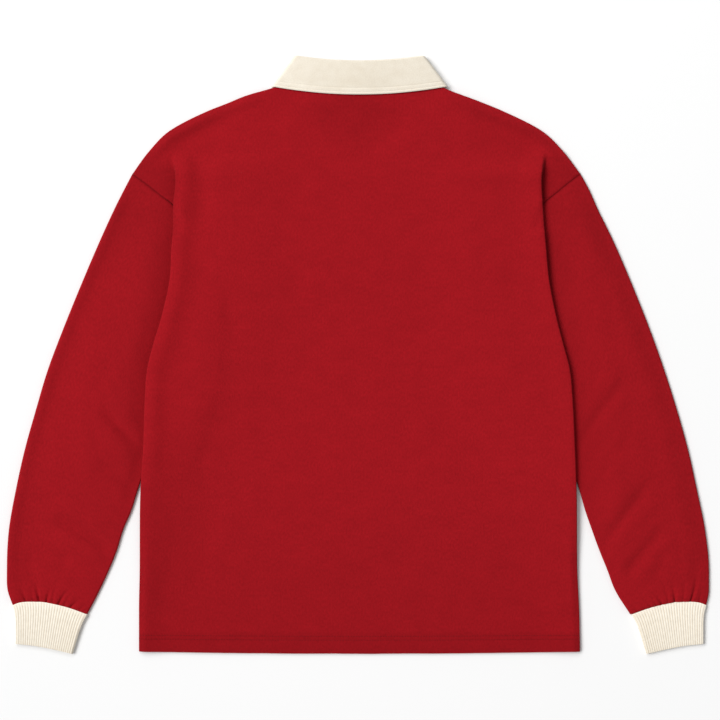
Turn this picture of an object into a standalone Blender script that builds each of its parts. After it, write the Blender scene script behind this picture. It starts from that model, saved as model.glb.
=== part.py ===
"""Long-sleeved knit polo shirt laid flat, back up, as thin cloth walls.

X runs to the right of the view from above, Y towards the collar, Z up from the floor.
Every size below is in millimetres. A height is measured up from the hem along Y, and a
half-width outwards from the centre line of the body. The cloth lies in layers: the front on
the floor, the back on it, and each sleeve, a flattened tube, with its inner edge between
them. Where the sleeve turns down at the armhole the back is folded over it.
"""
import bpy
import bmesh
import numpy as np

MM = 0.001

# Cloth and the gaps between its layers
WALL = 1.5
COLLAR_WALL = 2.0
CUFF_WALL = 1.6
SEAM_GAP = 0.3
TURN = 1.25                      # radius of a turned edge, at the middle of the wall
FRONT_MID = WALL / 2
BACK_MID = FRONT_MID + 2 * TURN + SEAM_GAP
TUBE_THICK = BACK_MID + WALL / 2
OVER_SLEEVE = 4 * TURN           # how far the body is raised where it lies on a sleeve
OVER_COLLAR = 3.7                # how far it is raised on the collar's leaves and the placket
LEFT, RIGHT = 1, 2               # columns of the outline tables

# Centre of the whole outline, measured from the centre of the hem
CENTRE_OUT = -2.0
CENTRE_HEIGHT = 387.8

# Outlines: height above the hem, left half-width, right half-width
SHOULDER = (
    (623, 295, 287), (654, 272, 263), (680, 245, 235), (706, 194, 183), (714, 173, 163),
    (725, 145, 133), (730, 127, 119), (735.5, 109, 108), (740, 103, 101), (745.5, 94, 93))
ARMHOLE = (
    (401, 219, 219), (435, 221, 220), (470, 223, 221), (510, 225, 222), (548, 228, 225.5),
    (566, 233, 230), (583, 242, 237), (596, 259, 253), (610, 277, 270), (623, 295, 287))
BODY_FOLD = (
    (0, 286.5, 286.5), (56, 286.5, 285.5), (108, 285.5, 283), (212, 284, 281.5),
    (266, 280.5, 279.5), (337, 278, 276), (368, 275.5, 273), (403, 267, 264),
    (436, 257, 255.5), (487, 246, 245.5), (524, 244, 242), (548, 242, 240), (583, 241.5, 237.5),
    (614, 238.5, 236), (635, 239, 238), (654, 240, 239), (680, 220, 215), (706, 172, 160),
    (730, 104, 97), (745.5, 74, 73))
SLEEVE_OUTER = (
    (63, 450.5, 450.5), (82, 457, 454), (108, 458, 454), (160, 455.5, 449), (212, 446.5, 438.5),
    (264, 435, 427), (316, 420.5, 412.5), (368, 405, 396), (420, 385.5, 377.5),
    (472, 364.5, 357), (524, 342.5, 335), (550, 331, 323), (576, 319, 310), (602, 306, 298.5),
    (623, 295, 287))
SLEEVE_INNER = (
    (51, 353.5, 351.5), (82, 337.5, 332), (108, 325.5, 322), (134, 315, 311.5),
    (160, 307, 302), (186, 296, 293), (212, 288, 285.5), (401, 219, 219))
# Sleeve seam of the cuff and the cuff's open end: fraction across, height, half-width
CUFF_JOIN = (
    (0.0, 63, 450.5), (0.10, 66.5, 441), (0.36, 67.5, 415.5), (0.56, 64.5, 396),
    (0.76, 59.5, 376.5), (1.0, 51, 353))
CUFF_END = ((0.0, 13, 446.5), (0.34, 10.5, 422), (0.68, 5.5, 396), (1.0, 0, 372.5))

# Hem and neck
HEM_RISE = 3
NECK_HEIGHT = 745.5
NECK_HALF = 94
BACK_NECK_DROP = 9
FRONT_NECK_DROP = 68
FRONT_NECK_POWER = 0.75
NECK_REACH_BACK = 60             # how far below the neck the rows of the back still curve
NECK_REACH_FRONT = 186
MAIN_PANELS = 7                  # columns on each side of the placket's slot
SIDE_BAND = 10                   # breadth of the flat column beside a turned edge
ROLL_ANGLES = (90, 60, 30, 0)    # points of a turned edge's quarter-turn, in degrees

# Rows of the two body panels and the stations where the sleeve is sewn in
ARM_STATIONS = tuple(row[0] for row in reversed(ARMHOLE))
ARMPIT = ARM_STATIONS[-1]
PLEAT_TOP = 654                  # the fold over the armhole begins here
PLEAT_FULL = 600                 # and lies quite flat from here down
PLEAT_RUN = 14                   # reversed layer of the fold where the seam comes out of it
PLEAT_TURNED = 0.85              # share of the way to the full fold at which that layer begins
CAP_END = 548                    # the armhole seam has run under the fold by here
FOLD_FIRST = 6                   # segments of the fold's outer half-turn
FOLD_RUN = 2                     # of the reversed layer
FOLD_SECOND = 4                  # and of the turn back outwards
COVER_FADE = 45                  # breadth of the slope from the raised cloth to the flat
LIMIT_FADE = 40                  # height in which the raised cloth's limit passes to the armhole
SHOULDER_ROWS = (745.5, 740, 735, 727, 716, 702, 686, 668, 652, 638)
SHELF_ROW = 365                  # the front reaches out over the sleeve from here down
SIDE_ROWS = (SHELF_ROW, 325, 275, 225, 185, 145, 105, 60, 25, 0)
PLACKET_FOOT = 528
BACK_ROWS = SHOULDER_ROWS + ARM_STATIONS + SIDE_ROWS
FRONT_ROWS = (SHOULDER_ROWS + ARM_STATIONS[:6] + (PLACKET_FOOT,) + ARM_STATIONS[6:]
              + (393, 385) + SIDE_ROWS)

# Collar, back half then front half: fold, foot of the stand and edge of the fall
STAND_OUT = BACK_MID / 2 - FRONT_MID / 2
RING_MID = OVER_COLLAR + (FRONT_MID + BACK_MID) / 2
FALL_OUT_BACK = STAND_OUT + 2.4
FALL_OUT_FRONT = RING_MID - COLLAR_WALL / 2
NECK_CLEAR = 1.6                 # room between the stand's corner and the shoulder's turned edge
FOLD_BACK_DIP = 6
FOLD_CORNER = (85, 775.5)
FOLD_FRONT = (4, 712)
FOLD_FRONT_PULL = (52, 728)
FALL_BACK = 725.5
FALL_CORNER = (114.3, 735.2)
FALL_FRONT_PULL = (92, 690)
FALL_POINT = (60, 648)
CORNER_INSET = 5.2               # half the collar's thickness where it turns at its side

# Placket and buttons
SLOT_HALF = 15
PLACKET_TOP = NECK_HEIGHT - FRONT_NECK_DROP - SEAM_GAP
PLACKET_OVER_HALF = 17
PLACKET_WALL = 1.3
BUTTON_HEIGHTS = (660, 612, 564)
BUTTON_RADIUS = 5.75
BUTTON_THICK = 1.8
BUTTON_RIM = 0.5

# Cuff ribs
RIBS_PER_SIDE = 28
RIB_RISE = 0.5
CUFF_THICK = 4.6
CUFF_TAPER = 22                  # how much narrower the open end is than the seam
CUFF_WAIST = 3.5                 # how far each side is drawn in just below the seam

# Soft creases, ridge positive and trough negative:
# start out, start height, end out, end height, rise, half-breadth (out is +X)
BODY_CREASES = (
    (-214, 660, -218, 520, -1.2, 14),
    (-196, 470, -176, 330, 1.2, 22),
    (-170, 330, -250, 110, 1.3, 24),
    (-120, 380, -215, 90, 1.0, 30),
    (190, 470, 214, 250, 1.1, 26),
    (150, 300, 228, 90, 1.1, 28),
    (-60, 600, 40, 560, 0.8, 40))
SLEEVE_CREASES = (
    (-288, 264, -336, 316, -2.0, 9),
    (-300, 248, -352, 296, 1.8, 13),
    (-276, 290, -318, 334, 1.6, 13),
    (-395, 190, -322, 134, -1.2, 12),
    (-404, 214, -330, 156, 1.2, 15),
    (-330, 470, -400, 300, 1.4, 20),
    (284, 285, 345, 362, -2.2, 9),
    (276, 312, 330, 380, 1.6, 13),
    (298, 258, 362, 336, 1.9, 13),
    (300, 212, 345, 277, -1.2, 10),
    (322, 154, 375, 215, -1.2, 10),
    (330, 180, 372, 240, 1.3, 13),
    (345, 102, 384, 160, -1.0, 10),
    (330, 470, 396, 300, 1.4, 20))
SLEEVE_PUFF = 2.2
# Gathers where the sleeve is drawn into the cuff: fraction across, depth
GATHERS_LEFT = ((0.19, 1.2), (0.38, 1.0), (0.45, 0.9), (0.62, 1.3), (0.78, 1.0))
GATHERS_RIGHT = ((0.22, 1.2), (0.42, 1.3), (0.56, 0.9), (0.70, 1.1), (0.80, 0.9))
GATHER_REACH = 16
SLEEVE_LENGTH = 470              # along the middle of a sleeve, from armhole to cuff
GATHER_BREADTH = 0.035

RED = (0.32, 0.010, 0.016, 1.0)
CREAM = (0.84, 0.78, 0.68, 1.0)
BUTTON_CREAM = (0.80, 0.76, 0.66, 1.0)


def column(table, heights, side):
    """Read a column of an outline table at the given heights, by a smooth curve.

    The curve is a cubic through each row, with the slope there taken from its neighbours.
    """
    rows = np.array(table, dtype=float)
    return smooth_through(rows[:, 0], rows[:, side], heights)


def smooth_through(knots, values, at):
    """Cubic Hermite curve through the values at the knots, limited so it never overshoots."""
    step = np.diff(knots)
    secant = np.diff(values) / step
    slope = np.concatenate([secant[:1], (secant[:-1] + secant[1:]) / 2, secant[-1:]])
    turning = np.concatenate([[False], secant[:-1] * secant[1:] <= 0, [False]])
    slope[turning] = 0
    at = np.clip(np.asarray(at, dtype=float), knots[0], knots[-1])
    k = np.clip(np.searchsorted(knots, at, side="right") - 1, 0, len(knots) - 2)
    t = (at - knots[k]) / step[k]
    rise = values[k + 1] - values[k]
    return (values[k] + rise * (3 * t ** 2 - 2 * t ** 3)
            + step[k] * slope[k] * (t ** 3 - 2 * t ** 2 + t)
            + step[k] * slope[k + 1] * (t ** 3 - t ** 2))


def ease(t):
    """Rise smoothly from 0 at t = 0 to 1 at t = 1, and stay there."""
    t = np.clip(t, 0, 1)
    return t * t * (3 - 2 * t)


def creases(x, height, table):
    """Sum of soft ridges and troughs, each a bell across a straight line with faded ends."""
    total = np.zeros(np.broadcast(x, height).shape)
    for x0, h0, x1, h1, rise, breadth in table:
        length = np.hypot(x1 - x0, h1 - h0)
        along = ((x - x0) * (x1 - x0) + (height - h0) * (h1 - h0)) / length
        across = ((x - x0) * (h1 - h0) - (height - h0) * (x1 - x0)) / length
        fade = ease(along / (0.3 * length)) * ease((length - along) / (0.3 * length))
        total += rise * fade * np.exp(-(across / breadth) ** 2)
    return total


def collar_lift(x, height):
    """How far the body is raised by the collar's leaves and the placket below it."""
    leaves = (1 - ease((np.abs(x) - 122) / 70)) * ease((height - 585) / 50)
    placket = (1 - ease((np.abs(x) - 22) / 45)) * ease((height - 478) / 42)
    return OVER_COLLAR * (1 - (1 - leaves) * (1 - placket))


def sleeve_cover(x, height, side):
    """1 where the body lies on the sleeve or its seam, easing to 0 further in.

    The limit is the inner end of the armhole fold, easing to the armhole, then the sleeve's edge.
    The cloth is fully raised a margin short of it, which is wider up at the armpit.
    """
    fold = column(BODY_FOLD, height, side) - PLEAT_RUN - 2 * TURN - 2
    arm = column(ARMHOLE, height, side)
    inner = column(SLEEVE_INNER, height, side)
    limit = fold + (arm - fold) * ease((CAP_END + LIMIT_FADE - height) / LIMIT_FADE)
    limit = np.where(height > ARMPIT, limit, inner)
    margin = 8 + 22 * ease((height - 250) / 100)
    return 1 - ease((limit - margin - np.abs(x)) / COVER_FADE)


def row_height(heights, x, drop, reach):
    """Height of the rows' points: they dip under the neck and rise to the hem's corners.

    The share is how far out a point lies, 1 from where the row's outer edge turns down.
    """
    height = heights[:, None]
    side = np.where(x < 0, x.min(axis=1)[:, None], x.max(axis=1)[:, None])
    share = np.clip(x / (side - np.sign(side) * 4), 0, 1)
    near_neck = np.clip((height - NECK_HEIGHT + reach) / reach, 0, 1)
    power = 1 if drop == BACK_NECK_DROP else FRONT_NECK_POWER
    dip = drop * near_neck ** 2 * np.clip(1 - share ** 2, 0, 1) ** power
    near_hem = np.clip(1 - height / 60, 0, 1)
    return height - dip + HEM_RISE * near_hem * share ** 2


def side_rise(heights, side):
    """How far the turned side edges of both panels are raised, one value for each row."""
    edge = column(BODY_FOLD, heights, side) - WALL / 2 - TURN
    return OVER_SLEEVE * sleeve_cover(edge, heights, side)


def armhole_fold(heights, side):
    """Section across the fold over the armhole, for each row.

    The cloth's slope rises to the angle alpha along a first arc, holds it along the
    reversed run and falls back along a second arc. Alpha is 0 above the fold, where the
    same points lie flat, and half a turn where the fold lies flat. Returns how far out and
    how far down each point lies from the start.
    """
    fold = column(BODY_FOLD, heights, side)
    arm = column(ARMHOLE, heights, side)
    begun = np.clip((PLEAT_TOP - heights) / (PLEAT_TOP - PLEAT_FULL), 0, 1)
    alpha = np.pi * ease(begun)
    to_seam = fold - WALL / 2 - TURN - arm
    reversed_run = PLEAT_RUN * ease((begun - PLEAT_TURNED) / (1 - PLEAT_TURNED))
    run = np.where(heights < CAP_END, to_seam, reversed_run)
    run = np.clip(run, 1.0, None)
    part = np.concatenate([
        (np.arange(FOLD_FIRST) + 0.5) / FOLD_FIRST, np.ones(FOLD_RUN),
        1 - (np.arange(FOLD_SECOND) + 0.5) / FOLD_SECOND])
    segments = np.concatenate([np.full(FOLD_FIRST, FOLD_FIRST), np.full(FOLD_RUN, np.inf),
                               np.full(FOLD_SECOND, FOLD_SECOND)])
    chord = np.pi * TURN / segments * np.sinc(alpha[:, None] / segments / (2 * np.pi))
    chord[:, FOLD_FIRST:FOLD_FIRST + FOLD_RUN] = run[:, None] / FOLD_RUN
    slope = alpha[:, None] * part
    zero = np.zeros((len(heights), 1))
    out = np.concatenate([zero, np.cumsum(chord * np.cos(slope), axis=1)], axis=1)
    down = np.concatenate([zero, np.cumsum(chord * np.sin(slope), axis=1)], axis=1)
    return out, down


def turned_edge(start, edge, slant, rolled, flats):
    """Points from start out to the edge, the last quarter-turn rolled down by TURN.

    Returns the distance out and the drop. Rows with rolled = 0 stay flat to the edge.
    """
    angles = np.radians(ROLL_ANGLES)
    roll_out = (edge - slant * (WALL / 2 + TURN))[:, None] + slant[:, None] * TURN * np.cos(angles)
    flat_out = start[:, None] + (roll_out[:, :1] - start[:, None]) * np.linspace(
        0, 1, flats + 1)[1:-1]
    curved = np.concatenate([flat_out, roll_out], axis=1)
    count = curved.shape[1]
    plain = start[:, None] + (edge - start)[:, None] * (np.arange(1, count + 1) / count)
    drop = np.concatenate([np.zeros(flats - 1), TURN * (1 - np.sin(angles))])
    return np.where(rolled[:, None] > 0, curved, plain), rolled[:, None] * drop


def edge_slant(table, heights, side):
    """Length along X for each unit square to an outline, from the outline's lean."""
    lean = (column(table, heights + 2, side) - column(table, heights - 2, side)) / 4
    return np.sqrt(1 + lean ** 2)


def main_columns(start):
    """Columns from the placket's slot out to the given start, closer together further out."""
    share = 1 - (1 - np.arange(MAIN_PANELS + 1) / MAIN_PANELS) ** 1.35
    return SLOT_HALF + (start[:, None] - SLOT_HALF) * share


def half_back(side):
    """Distances out and drops of the back's points on one side, from the fold outwards.

    The last value is the whole drop of the fold. Rows below the cap keep a narrow strip of
    points there that no face uses.
    """
    heights = np.array(BACK_ROWS, dtype=float)
    out, down = armhole_fold(heights, side)
    fold = column(BODY_FOLD, heights, side)
    out = out + (fold - WALL / 2 - out[:, FOLD_FIRST // 2])[:, None]
    shoulder = heights >= ARM_STATIONS[0]
    edge = np.where(shoulder, column(SHOULDER, heights, side), column(ARMHOLE, heights, side))
    edge = np.where(heights < CAP_END, out[:, -1] + WALL, edge)
    slant = np.where(shoulder, edge_slant(SHOULDER, heights, side), 1)
    cap_out, cap_down = turned_edge(out[:, -1], edge, slant, shoulder.astype(float), flats=3)
    return (np.concatenate([out, cap_out], axis=1),
            np.concatenate([down, down[:, -1:] + cap_down], axis=1), down[:, -1])


def back_points():
    """Middle of the back's wall as rows of points from left to right, and the cells kept."""
    heights = np.array(BACK_ROWS, dtype=float)
    left_out, left_down, left_drop = half_back(LEFT)
    right_out, right_down, right_drop = half_back(RIGHT)
    middle = np.concatenate([-main_columns(left_out[:, 0] - SIDE_BAND)[:, ::-1],
                             main_columns(right_out[:, 0] - SIDE_BAND)], axis=1)
    x = np.concatenate([-left_out[:, ::-1], middle, right_out], axis=1)
    down = np.concatenate([left_down[:, ::-1], np.zeros_like(middle), right_down], axis=1)
    y = row_height(heights, x, BACK_NECK_DROP, NECK_REACH_BACK)
    rise = np.where(x < 0, raised(x, heights, LEFT, left_drop), raised(x, heights, RIGHT, right_drop))
    zone = left_out.shape[1]
    rise[:, :zone] = np.where(heights < ARMPIT, side_rise(heights, LEFT), left_drop)[:, None]
    rise[:, -zone:] = np.where(heights < ARMPIT, side_rise(heights, RIGHT), right_drop)[:, None]
    lift = collar_lift(x, y)
    soft = creases(x, y, BODY_CREASES) * ease((NECK_HEIGHT - y) / 60)
    z = BACK_MID + lift + rise + np.where(down > 0, 0, soft) - down
    cell = (heights[:-1] + heights[1:]) / 2
    keep = np.ones((len(cell), x.shape[1] - 1), dtype=bool)
    cap = zone - 1 - (FOLD_FIRST + FOLD_RUN + FOLD_SECOND)
    under_fold = zone - 1 - FOLD_FIRST // 2
    for rows, cells in ((cell < CAP_END, cap), (cell < ARMPIT, under_fold)):
        keep[rows, :cells] = False
        keep[rows, keep.shape[1] - cells:] = False
    return np.stack([x, y, z], axis=2), keep


def raised(x, heights, side, drop):
    """How far the back is raised at the armhole fold and on the sleeve below it."""
    height = heights[:, None]
    full = np.where(heights < ARMPIT, OVER_SLEEVE, drop)[:, None]
    return full * sleeve_cover(x, height, side)


def half_front(side):
    """Distances out and roll of the front's points on one side, from the slot outwards."""
    heights = np.array(FRONT_ROWS, dtype=float)
    shoulder = heights >= ARM_STATIONS[0]
    seam = ~shoulder & (heights >= ARMPIT)
    shelf = heights <= SHELF_ROW
    edge = np.where(shoulder, column(SHOULDER, heights, side), column(ARMHOLE, heights, side))
    edge = np.where(seam | shoulder, edge, column(SLEEVE_INNER, heights, side) - 2)
    edge = np.where(shelf, column(BODY_FOLD, heights, side), edge)
    slant = np.where(shoulder, edge_slant(SHOULDER, heights, side), 1)
    rolled = (shoulder | shelf).astype(float)
    start = edge - (WALL / 2 + TURN + SIDE_BAND) * slant
    edge_out, edge_down = turned_edge(start, edge, slant, rolled, flats=1)
    inner = main_columns(start)
    flat = np.zeros_like(inner)
    return np.concatenate([inner, edge_out], axis=1), np.concatenate([flat, edge_down], axis=1)


def front_rise(x, heights, side):
    """How far the front is raised on the sleeve, below the armpit only."""
    below = ease((ARMPIT - heights[:, None]) / 16)
    return OVER_SLEEVE * below * sleeve_cover(x, np.minimum(heights[:, None], ARMPIT - 1), side)


def front_points():
    """Middle of the front's wall as rows of points from left to right, and the cells kept."""
    heights = np.array(FRONT_ROWS, dtype=float)
    left_out, left_down = half_front(LEFT)
    right_out, right_down = half_front(RIGHT)
    x = np.concatenate([-left_out[:, ::-1], right_out], axis=1)
    down = np.concatenate([left_down[:, ::-1], right_down], axis=1)
    y = row_height(heights, x, FRONT_NECK_DROP, NECK_REACH_FRONT)
    rise = np.where(x < 0, front_rise(x, heights, LEFT), front_rise(x, heights, RIGHT))
    side = heights <= SHELF_ROW
    rise[side, :len(ROLL_ANGLES)] = side_rise(heights, LEFT)[side, None]
    rise[side, -len(ROLL_ANGLES):] = side_rise(heights, RIGHT)[side, None]
    z = FRONT_MID + collar_lift(x, y) + rise + down
    cell = (heights[:-1] + heights[1:]) / 2
    keep = np.ones((len(cell), x.shape[1] - 1), dtype=bool)
    keep[cell > PLACKET_FOOT, keep.shape[1] // 2] = False
    return np.stack([x, y, z], axis=2), keep


def normals(points):
    """Unit normals of a grid of points, from the slopes along its rows and columns."""
    down_rows = np.gradient(points, axis=0, edge_order=2)
    along_rows = np.gradient(points, axis=1, edge_order=2)
    normal = np.cross(along_rows, -down_rows)
    return normal / np.linalg.norm(normal, axis=2, keepdims=True)


def sheet_faces(keep):
    """Faces of a closed sheet: its upper and lower grids, and walls round the kept cells.

    Every cell is cut along the same diagonal, so that two sheets on the same rows and
    columns stay parallel.
    """
    rows, cols = keep.shape[0] + 1, keep.shape[1] + 1
    under = rows * cols

    def at(row, col):
        return row * cols + col

    faces = []
    padded = np.pad(keep, 1)
    for row, col in np.argwhere(keep):
        corners = (at(row, col), at(row + 1, col), at(row + 1, col + 1), at(row, col + 1))
        for half in ((0, 1, 2), (0, 2, 3)):
            faces.append(tuple(corners[k] for k in half))
            faces.append(tuple(under + corners[k] for k in reversed(half)))
        sides = ((padded[row + 1, col], 0, 1), (padded[row + 2, col + 1], 1, 2),
                 (padded[row + 1, col + 2], 2, 3), (padded[row, col + 1], 3, 0))
        for kept, a, b in sides:
            if not kept:
                faces.append((corners[b], corners[a], under + corners[a], under + corners[b]))
    return faces


def cloth_sheet(name, points, keep, wall, material):
    """Object of a sheet of cloth: a wall round the middle surface given by the points."""
    half = normals(points) * wall / 2
    vertices = np.concatenate([(points + half).reshape(-1, 3), (points - half).reshape(-1, 3)])
    return add_object(name, vertices, sheet_faces(keep), material)


def add_object(name, vertices, faces, material):
    """Make a named object from points in millimetres, leaving out points that no face uses."""
    used = sorted({index for face in faces for index in face})
    place = {index: order for order, index in enumerate(used)}
    shift = np.array([CENTRE_OUT, CENTRE_HEIGHT, 0])
    mesh = bpy.data.meshes.new(name)
    mesh.from_pydata(((vertices[used] - shift) * MM).tolist(), [],
                     [tuple(place[index] for index in face) for face in faces])
    shell = bmesh.new()
    shell.from_mesh(mesh)
    bmesh.ops.remove_doubles(shell, verts=shell.verts, dist=1e-7)
    bmesh.ops.recalc_face_normals(shell, faces=shell.faces)
    shell.to_mesh(mesh)
    shell.free()
    mesh.shade_smooth()
    mesh.set_sharp_from_angle(angle=np.radians(50))
    mesh.materials.append(material)
    shirt_piece = bpy.data.objects.new(name, mesh)
    bpy.context.scene.collection.objects.link(shirt_piece)
    return shirt_piece


def polyline(stations, share):
    """Points at the given shares of a polyline's length."""
    stations = np.array(stations, dtype=float)
    reach = np.concatenate([[0], np.cumsum(np.linalg.norm(np.diff(stations, axis=0), axis=1))])
    share = np.asarray(share) * reach[-1]
    return np.stack([np.interp(share, reach, stations[:, axis]) for axis in (0, 1)], axis=-1)


def edge_curve(table, side, count=60):
    """An outline as a fine polyline of (out, height), from its top down."""
    heights = np.linspace(table[-1][0], table[0][0], count)
    return np.stack([column(table, heights, side), heights], axis=1)


def seam_shares(side):
    """Shares of the armhole's length at which its stations lie."""
    seam = np.array([(row[side], row[0]) for row in reversed(ARMHOLE)], dtype=float)
    reach = np.concatenate([[0], np.cumsum(np.linalg.norm(np.diff(seam, axis=0), axis=1))])
    return seam, reach / reach[-1]


def tube_ring(shares, width, thick, inset):
    """Ring of a flattened tube: share across, height and how much each point is on top.

    Each edge is a half-turn about a point half the thickness in from it. Inset 0 gives the
    outer ring and the wall's thickness gives the inner one.
    """
    radius = thick / 2 - inset
    turn = np.radians(np.arange(-90, 91, 30))
    flat = np.asarray(shares)[1:-1]
    rows = len(width)
    edge_in = (thick / 2 / width)[:, None]
    swing = (radius / width)[:, None]
    outer = edge_in - swing * np.cos(turn)
    inner = 1 - edge_in + swing * np.cos(-turn)
    across = np.concatenate([
        outer, np.tile(flat, (rows, 1)), inner[:, ::-1], np.tile(flat[::-1], (rows, 1))], axis=1)
    top = np.sin(turn)
    on_top = np.concatenate([top, np.ones(len(flat)), top[::-1], -np.ones(len(flat))])
    return across, thick / 2 + radius * on_top, np.clip(on_top, 0, 1)


def sleeve_plan(across, along, side):
    """Plan of a sleeve by a patch between its four edges.

    Each point is the blend of the outer and inner edges across, plus the blend of the
    armhole and the cuff seam along, less the blend of the four corners.
    """
    seam, shares = seam_shares(side)
    join = polyline([(row[2], row[1]) for row in CUFF_JOIN], shares)
    outer = polyline(edge_curve(SLEEVE_OUTER, side), along)[:, None, :]
    inner = polyline(edge_curve(SLEEVE_INNER, side), along)[:, None, :]
    top, bottom = polyline(seam, across), polyline(join, across)
    u, v = across[:, :, None], along[:, None, None]
    corners = ((1 - u) * (1 - v) * seam[0] + u * (1 - v) * seam[-1]
               + (1 - u) * v * join[0] + u * v * join[-1])
    clear = np.array([SEAM_GAP, -SEAM_GAP]) * (1 - v)
    return (1 - u) * outer + u * inner + (1 - v) * top + v * bottom - corners + clear


def sleeve_relief(plan, across, along, side):
    """Height of the upper layer over flat: puff, creases and the gathers at the cuff."""
    out, height = plan[:, :, 0], plan[:, :, 1]
    sign = -1 if side == LEFT else 1
    shown = ease((out - column(BODY_FOLD, height, side) - 4) / 34)
    v = along[:, None]
    puff = SLEEVE_PUFF * np.sqrt(np.clip(np.sin(np.pi * across), 0, 1)) * ease(v / 0.12)
    soft = creases(sign * out, height, SLEEVE_CREASES) * ease((1 - v) / 0.1)
    from_cuff = (1 - v) * SLEEVE_LENGTH
    drawn = np.exp(-from_cuff / GATHER_REACH)
    for share, depth in (GATHERS_LEFT if side == LEFT else GATHERS_RIGHT):
        puff = puff - depth * drawn * np.exp(-((across - share) / GATHER_BREADTH) ** 2)
    return np.clip((puff + soft) * shown, 0, None)


def tube_faces(rings, count, inner_count):
    """Faces of an open tube with a wall: outer skin, inner skin and the two end rings.

    The outer ring has a whole number of points for each point of the inner one.
    """
    ratio = count // inner_count
    faces = []
    inside = rings * count

    def outer(ring, k):
        return ring * count + k % count

    def inner(ring, k):
        return inside + ring * inner_count + k % inner_count

    for ring in range(rings - 1):
        for k in range(count):
            faces.append((outer(ring, k), outer(ring, k + 1), outer(ring + 1, k + 1),
                          outer(ring + 1, k)))
        for k in range(inner_count):
            faces.append((inner(ring, k + 1), inner(ring, k), inner(ring + 1, k),
                          inner(ring + 1, k + 1)))
    for ring in (0, rings - 1):
        for k in range(inner_count):
            rim = [outer(ring, k * ratio + step) for step in range(ratio + 1)]
            faces.append(tuple(rim) + (inner(ring, k + 1), inner(ring, k)))
    return faces


def sleeve(name, side, material):
    """Sleeve as a flattened tube from the armhole seam to the cuff seam."""
    along = np.array((0, .03, .08, .15, .23, .31, .39, .47, .55, .63, .70, .77, .84, .90, .95, 1))
    _, shares = seam_shares(side)
    start = polyline(edge_curve(SLEEVE_OUTER, side), along)
    end = polyline(edge_curve(SLEEVE_INNER, side), along)
    width = np.linalg.norm(start - end, axis=1)
    sign = -1 if side == LEFT else 1
    skins = []
    for inset in (0, WALL):
        across, z, on_top = tube_ring(shares, width, TUBE_THICK, inset)
        plan = sleeve_plan(across, along, side)
        lifted = z + on_top * sleeve_relief(plan, across, along, side)
        skins.append(np.stack([sign * plan[:, :, 0], plan[:, :, 1], lifted], axis=2))
    rings, count = skins[0].shape[:2]
    vertices = np.concatenate([skin.reshape(-1, 3) for skin in skins])
    return add_object(name, vertices, tube_faces(rings, count, count), material)


def cuff_plan(across, along, side):
    """Plan of a cuff by straight lines from its seam to its open end, drawn in at the top."""
    _, shares = seam_shares(side)
    join = polyline([(row[2], row[1]) for row in CUFF_JOIN], shares)
    seam = polyline(join, across) - np.array([0, SEAM_GAP])
    end = polyline([(row[2], row[1]) for row in CUFF_END], across)
    drawn = along ** 0.8
    waist = CUFF_WAIST * (np.exp(-along / 0.12) - 1) * (1 - along)
    pull = waist[:, None, None] * np.stack([1 - 2 * across, np.zeros_like(across)], axis=2)
    return seam + (end - seam) * drawn[:, None, None] + pull


def cuff_section(width, points, radius, rise):
    """Section of a cuff: two straight sides joined by half-turns, walked at even steps.

    The rise is added to the radius of each point. Returns the share across and the height.
    """
    turn = CUFF_THICK / 2
    straight = (width - CUFF_THICK)[:, None]
    length = 2 * straight + 2 * np.pi * turn
    run = np.arange(points) / points * length
    top = np.clip(run, 0, straight)
    near = np.clip(run - straight, 0, np.pi * turn) / turn
    bottom = np.clip(run - straight - np.pi * turn, 0, straight)
    far = np.clip(run - 2 * straight - np.pi * turn, 0, np.pi * turn) / turn
    angle = np.pi / 2 - near - far
    across = (turn + top - bottom + (radius + rise) * np.cos(angle)) / width[:, None]
    return across, RIB_RISE + turn + (radius + rise) * np.sin(angle)


def cuff(name, side, material):
    """Ribbed cuff: a flattened tube whose outer points rise and fall over a plain inside."""
    along = np.array((0, 0.16, 0.5, 1))
    count = 4 * RIBS_PER_SIDE
    seam_width = np.hypot(CUFF_JOIN[0][2] - CUFF_JOIN[-1][2], CUFF_JOIN[0][1] - CUFF_JOIN[-1][1])
    width = seam_width - CUFF_TAPER * np.sqrt(along)
    ribs = RIB_RISE * (np.arange(count) % 2)
    plain = np.zeros(count // 2)
    sign = -1 if side == LEFT else 1
    skins = []
    for radius, rise in ((CUFF_THICK / 2, ribs), (CUFF_THICK / 2 - CUFF_WALL, plain)):
        across, z = cuff_section(width, len(rise), radius, rise)
        plan = cuff_plan(across, along, side)
        skins.append(np.stack([sign * plan[:, :, 0], plan[:, :, 1], z], axis=2))
    vertices = np.concatenate([skin.reshape(-1, 3) for skin in skins])
    return add_object(name, vertices, tube_faces(len(along), count, len(plain)), material)


def bezier(start, pull, end, t):
    """Curve from start to end that leans towards the pull point."""
    start, pull, end = (np.array(point, dtype=float) for point in (start, pull, end))
    t = t[:, None]
    return (1 - t) ** 2 * start + 2 * t * (1 - t) * pull + t ** 2 * end


def neck_seam(x, panel):
    """Height of the stand's foot: a seam's gap off the panel's top row, more at the corner."""
    top = panel[0]
    right = top[top[:, 0] > 0]
    left = top[top[:, 0] < 0][::-1] * np.array([-1, 1, 1])
    edge = np.maximum(np.interp(x, right[:, 0], right[:, 1]), np.interp(x, left[:, 0], left[:, 1]))
    slope = np.gradient(edge, x)
    return edge + SEAM_GAP * np.sqrt(1 + slope ** 2) + NECK_CLEAR * (x / NECK_HALF) ** 4


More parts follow.
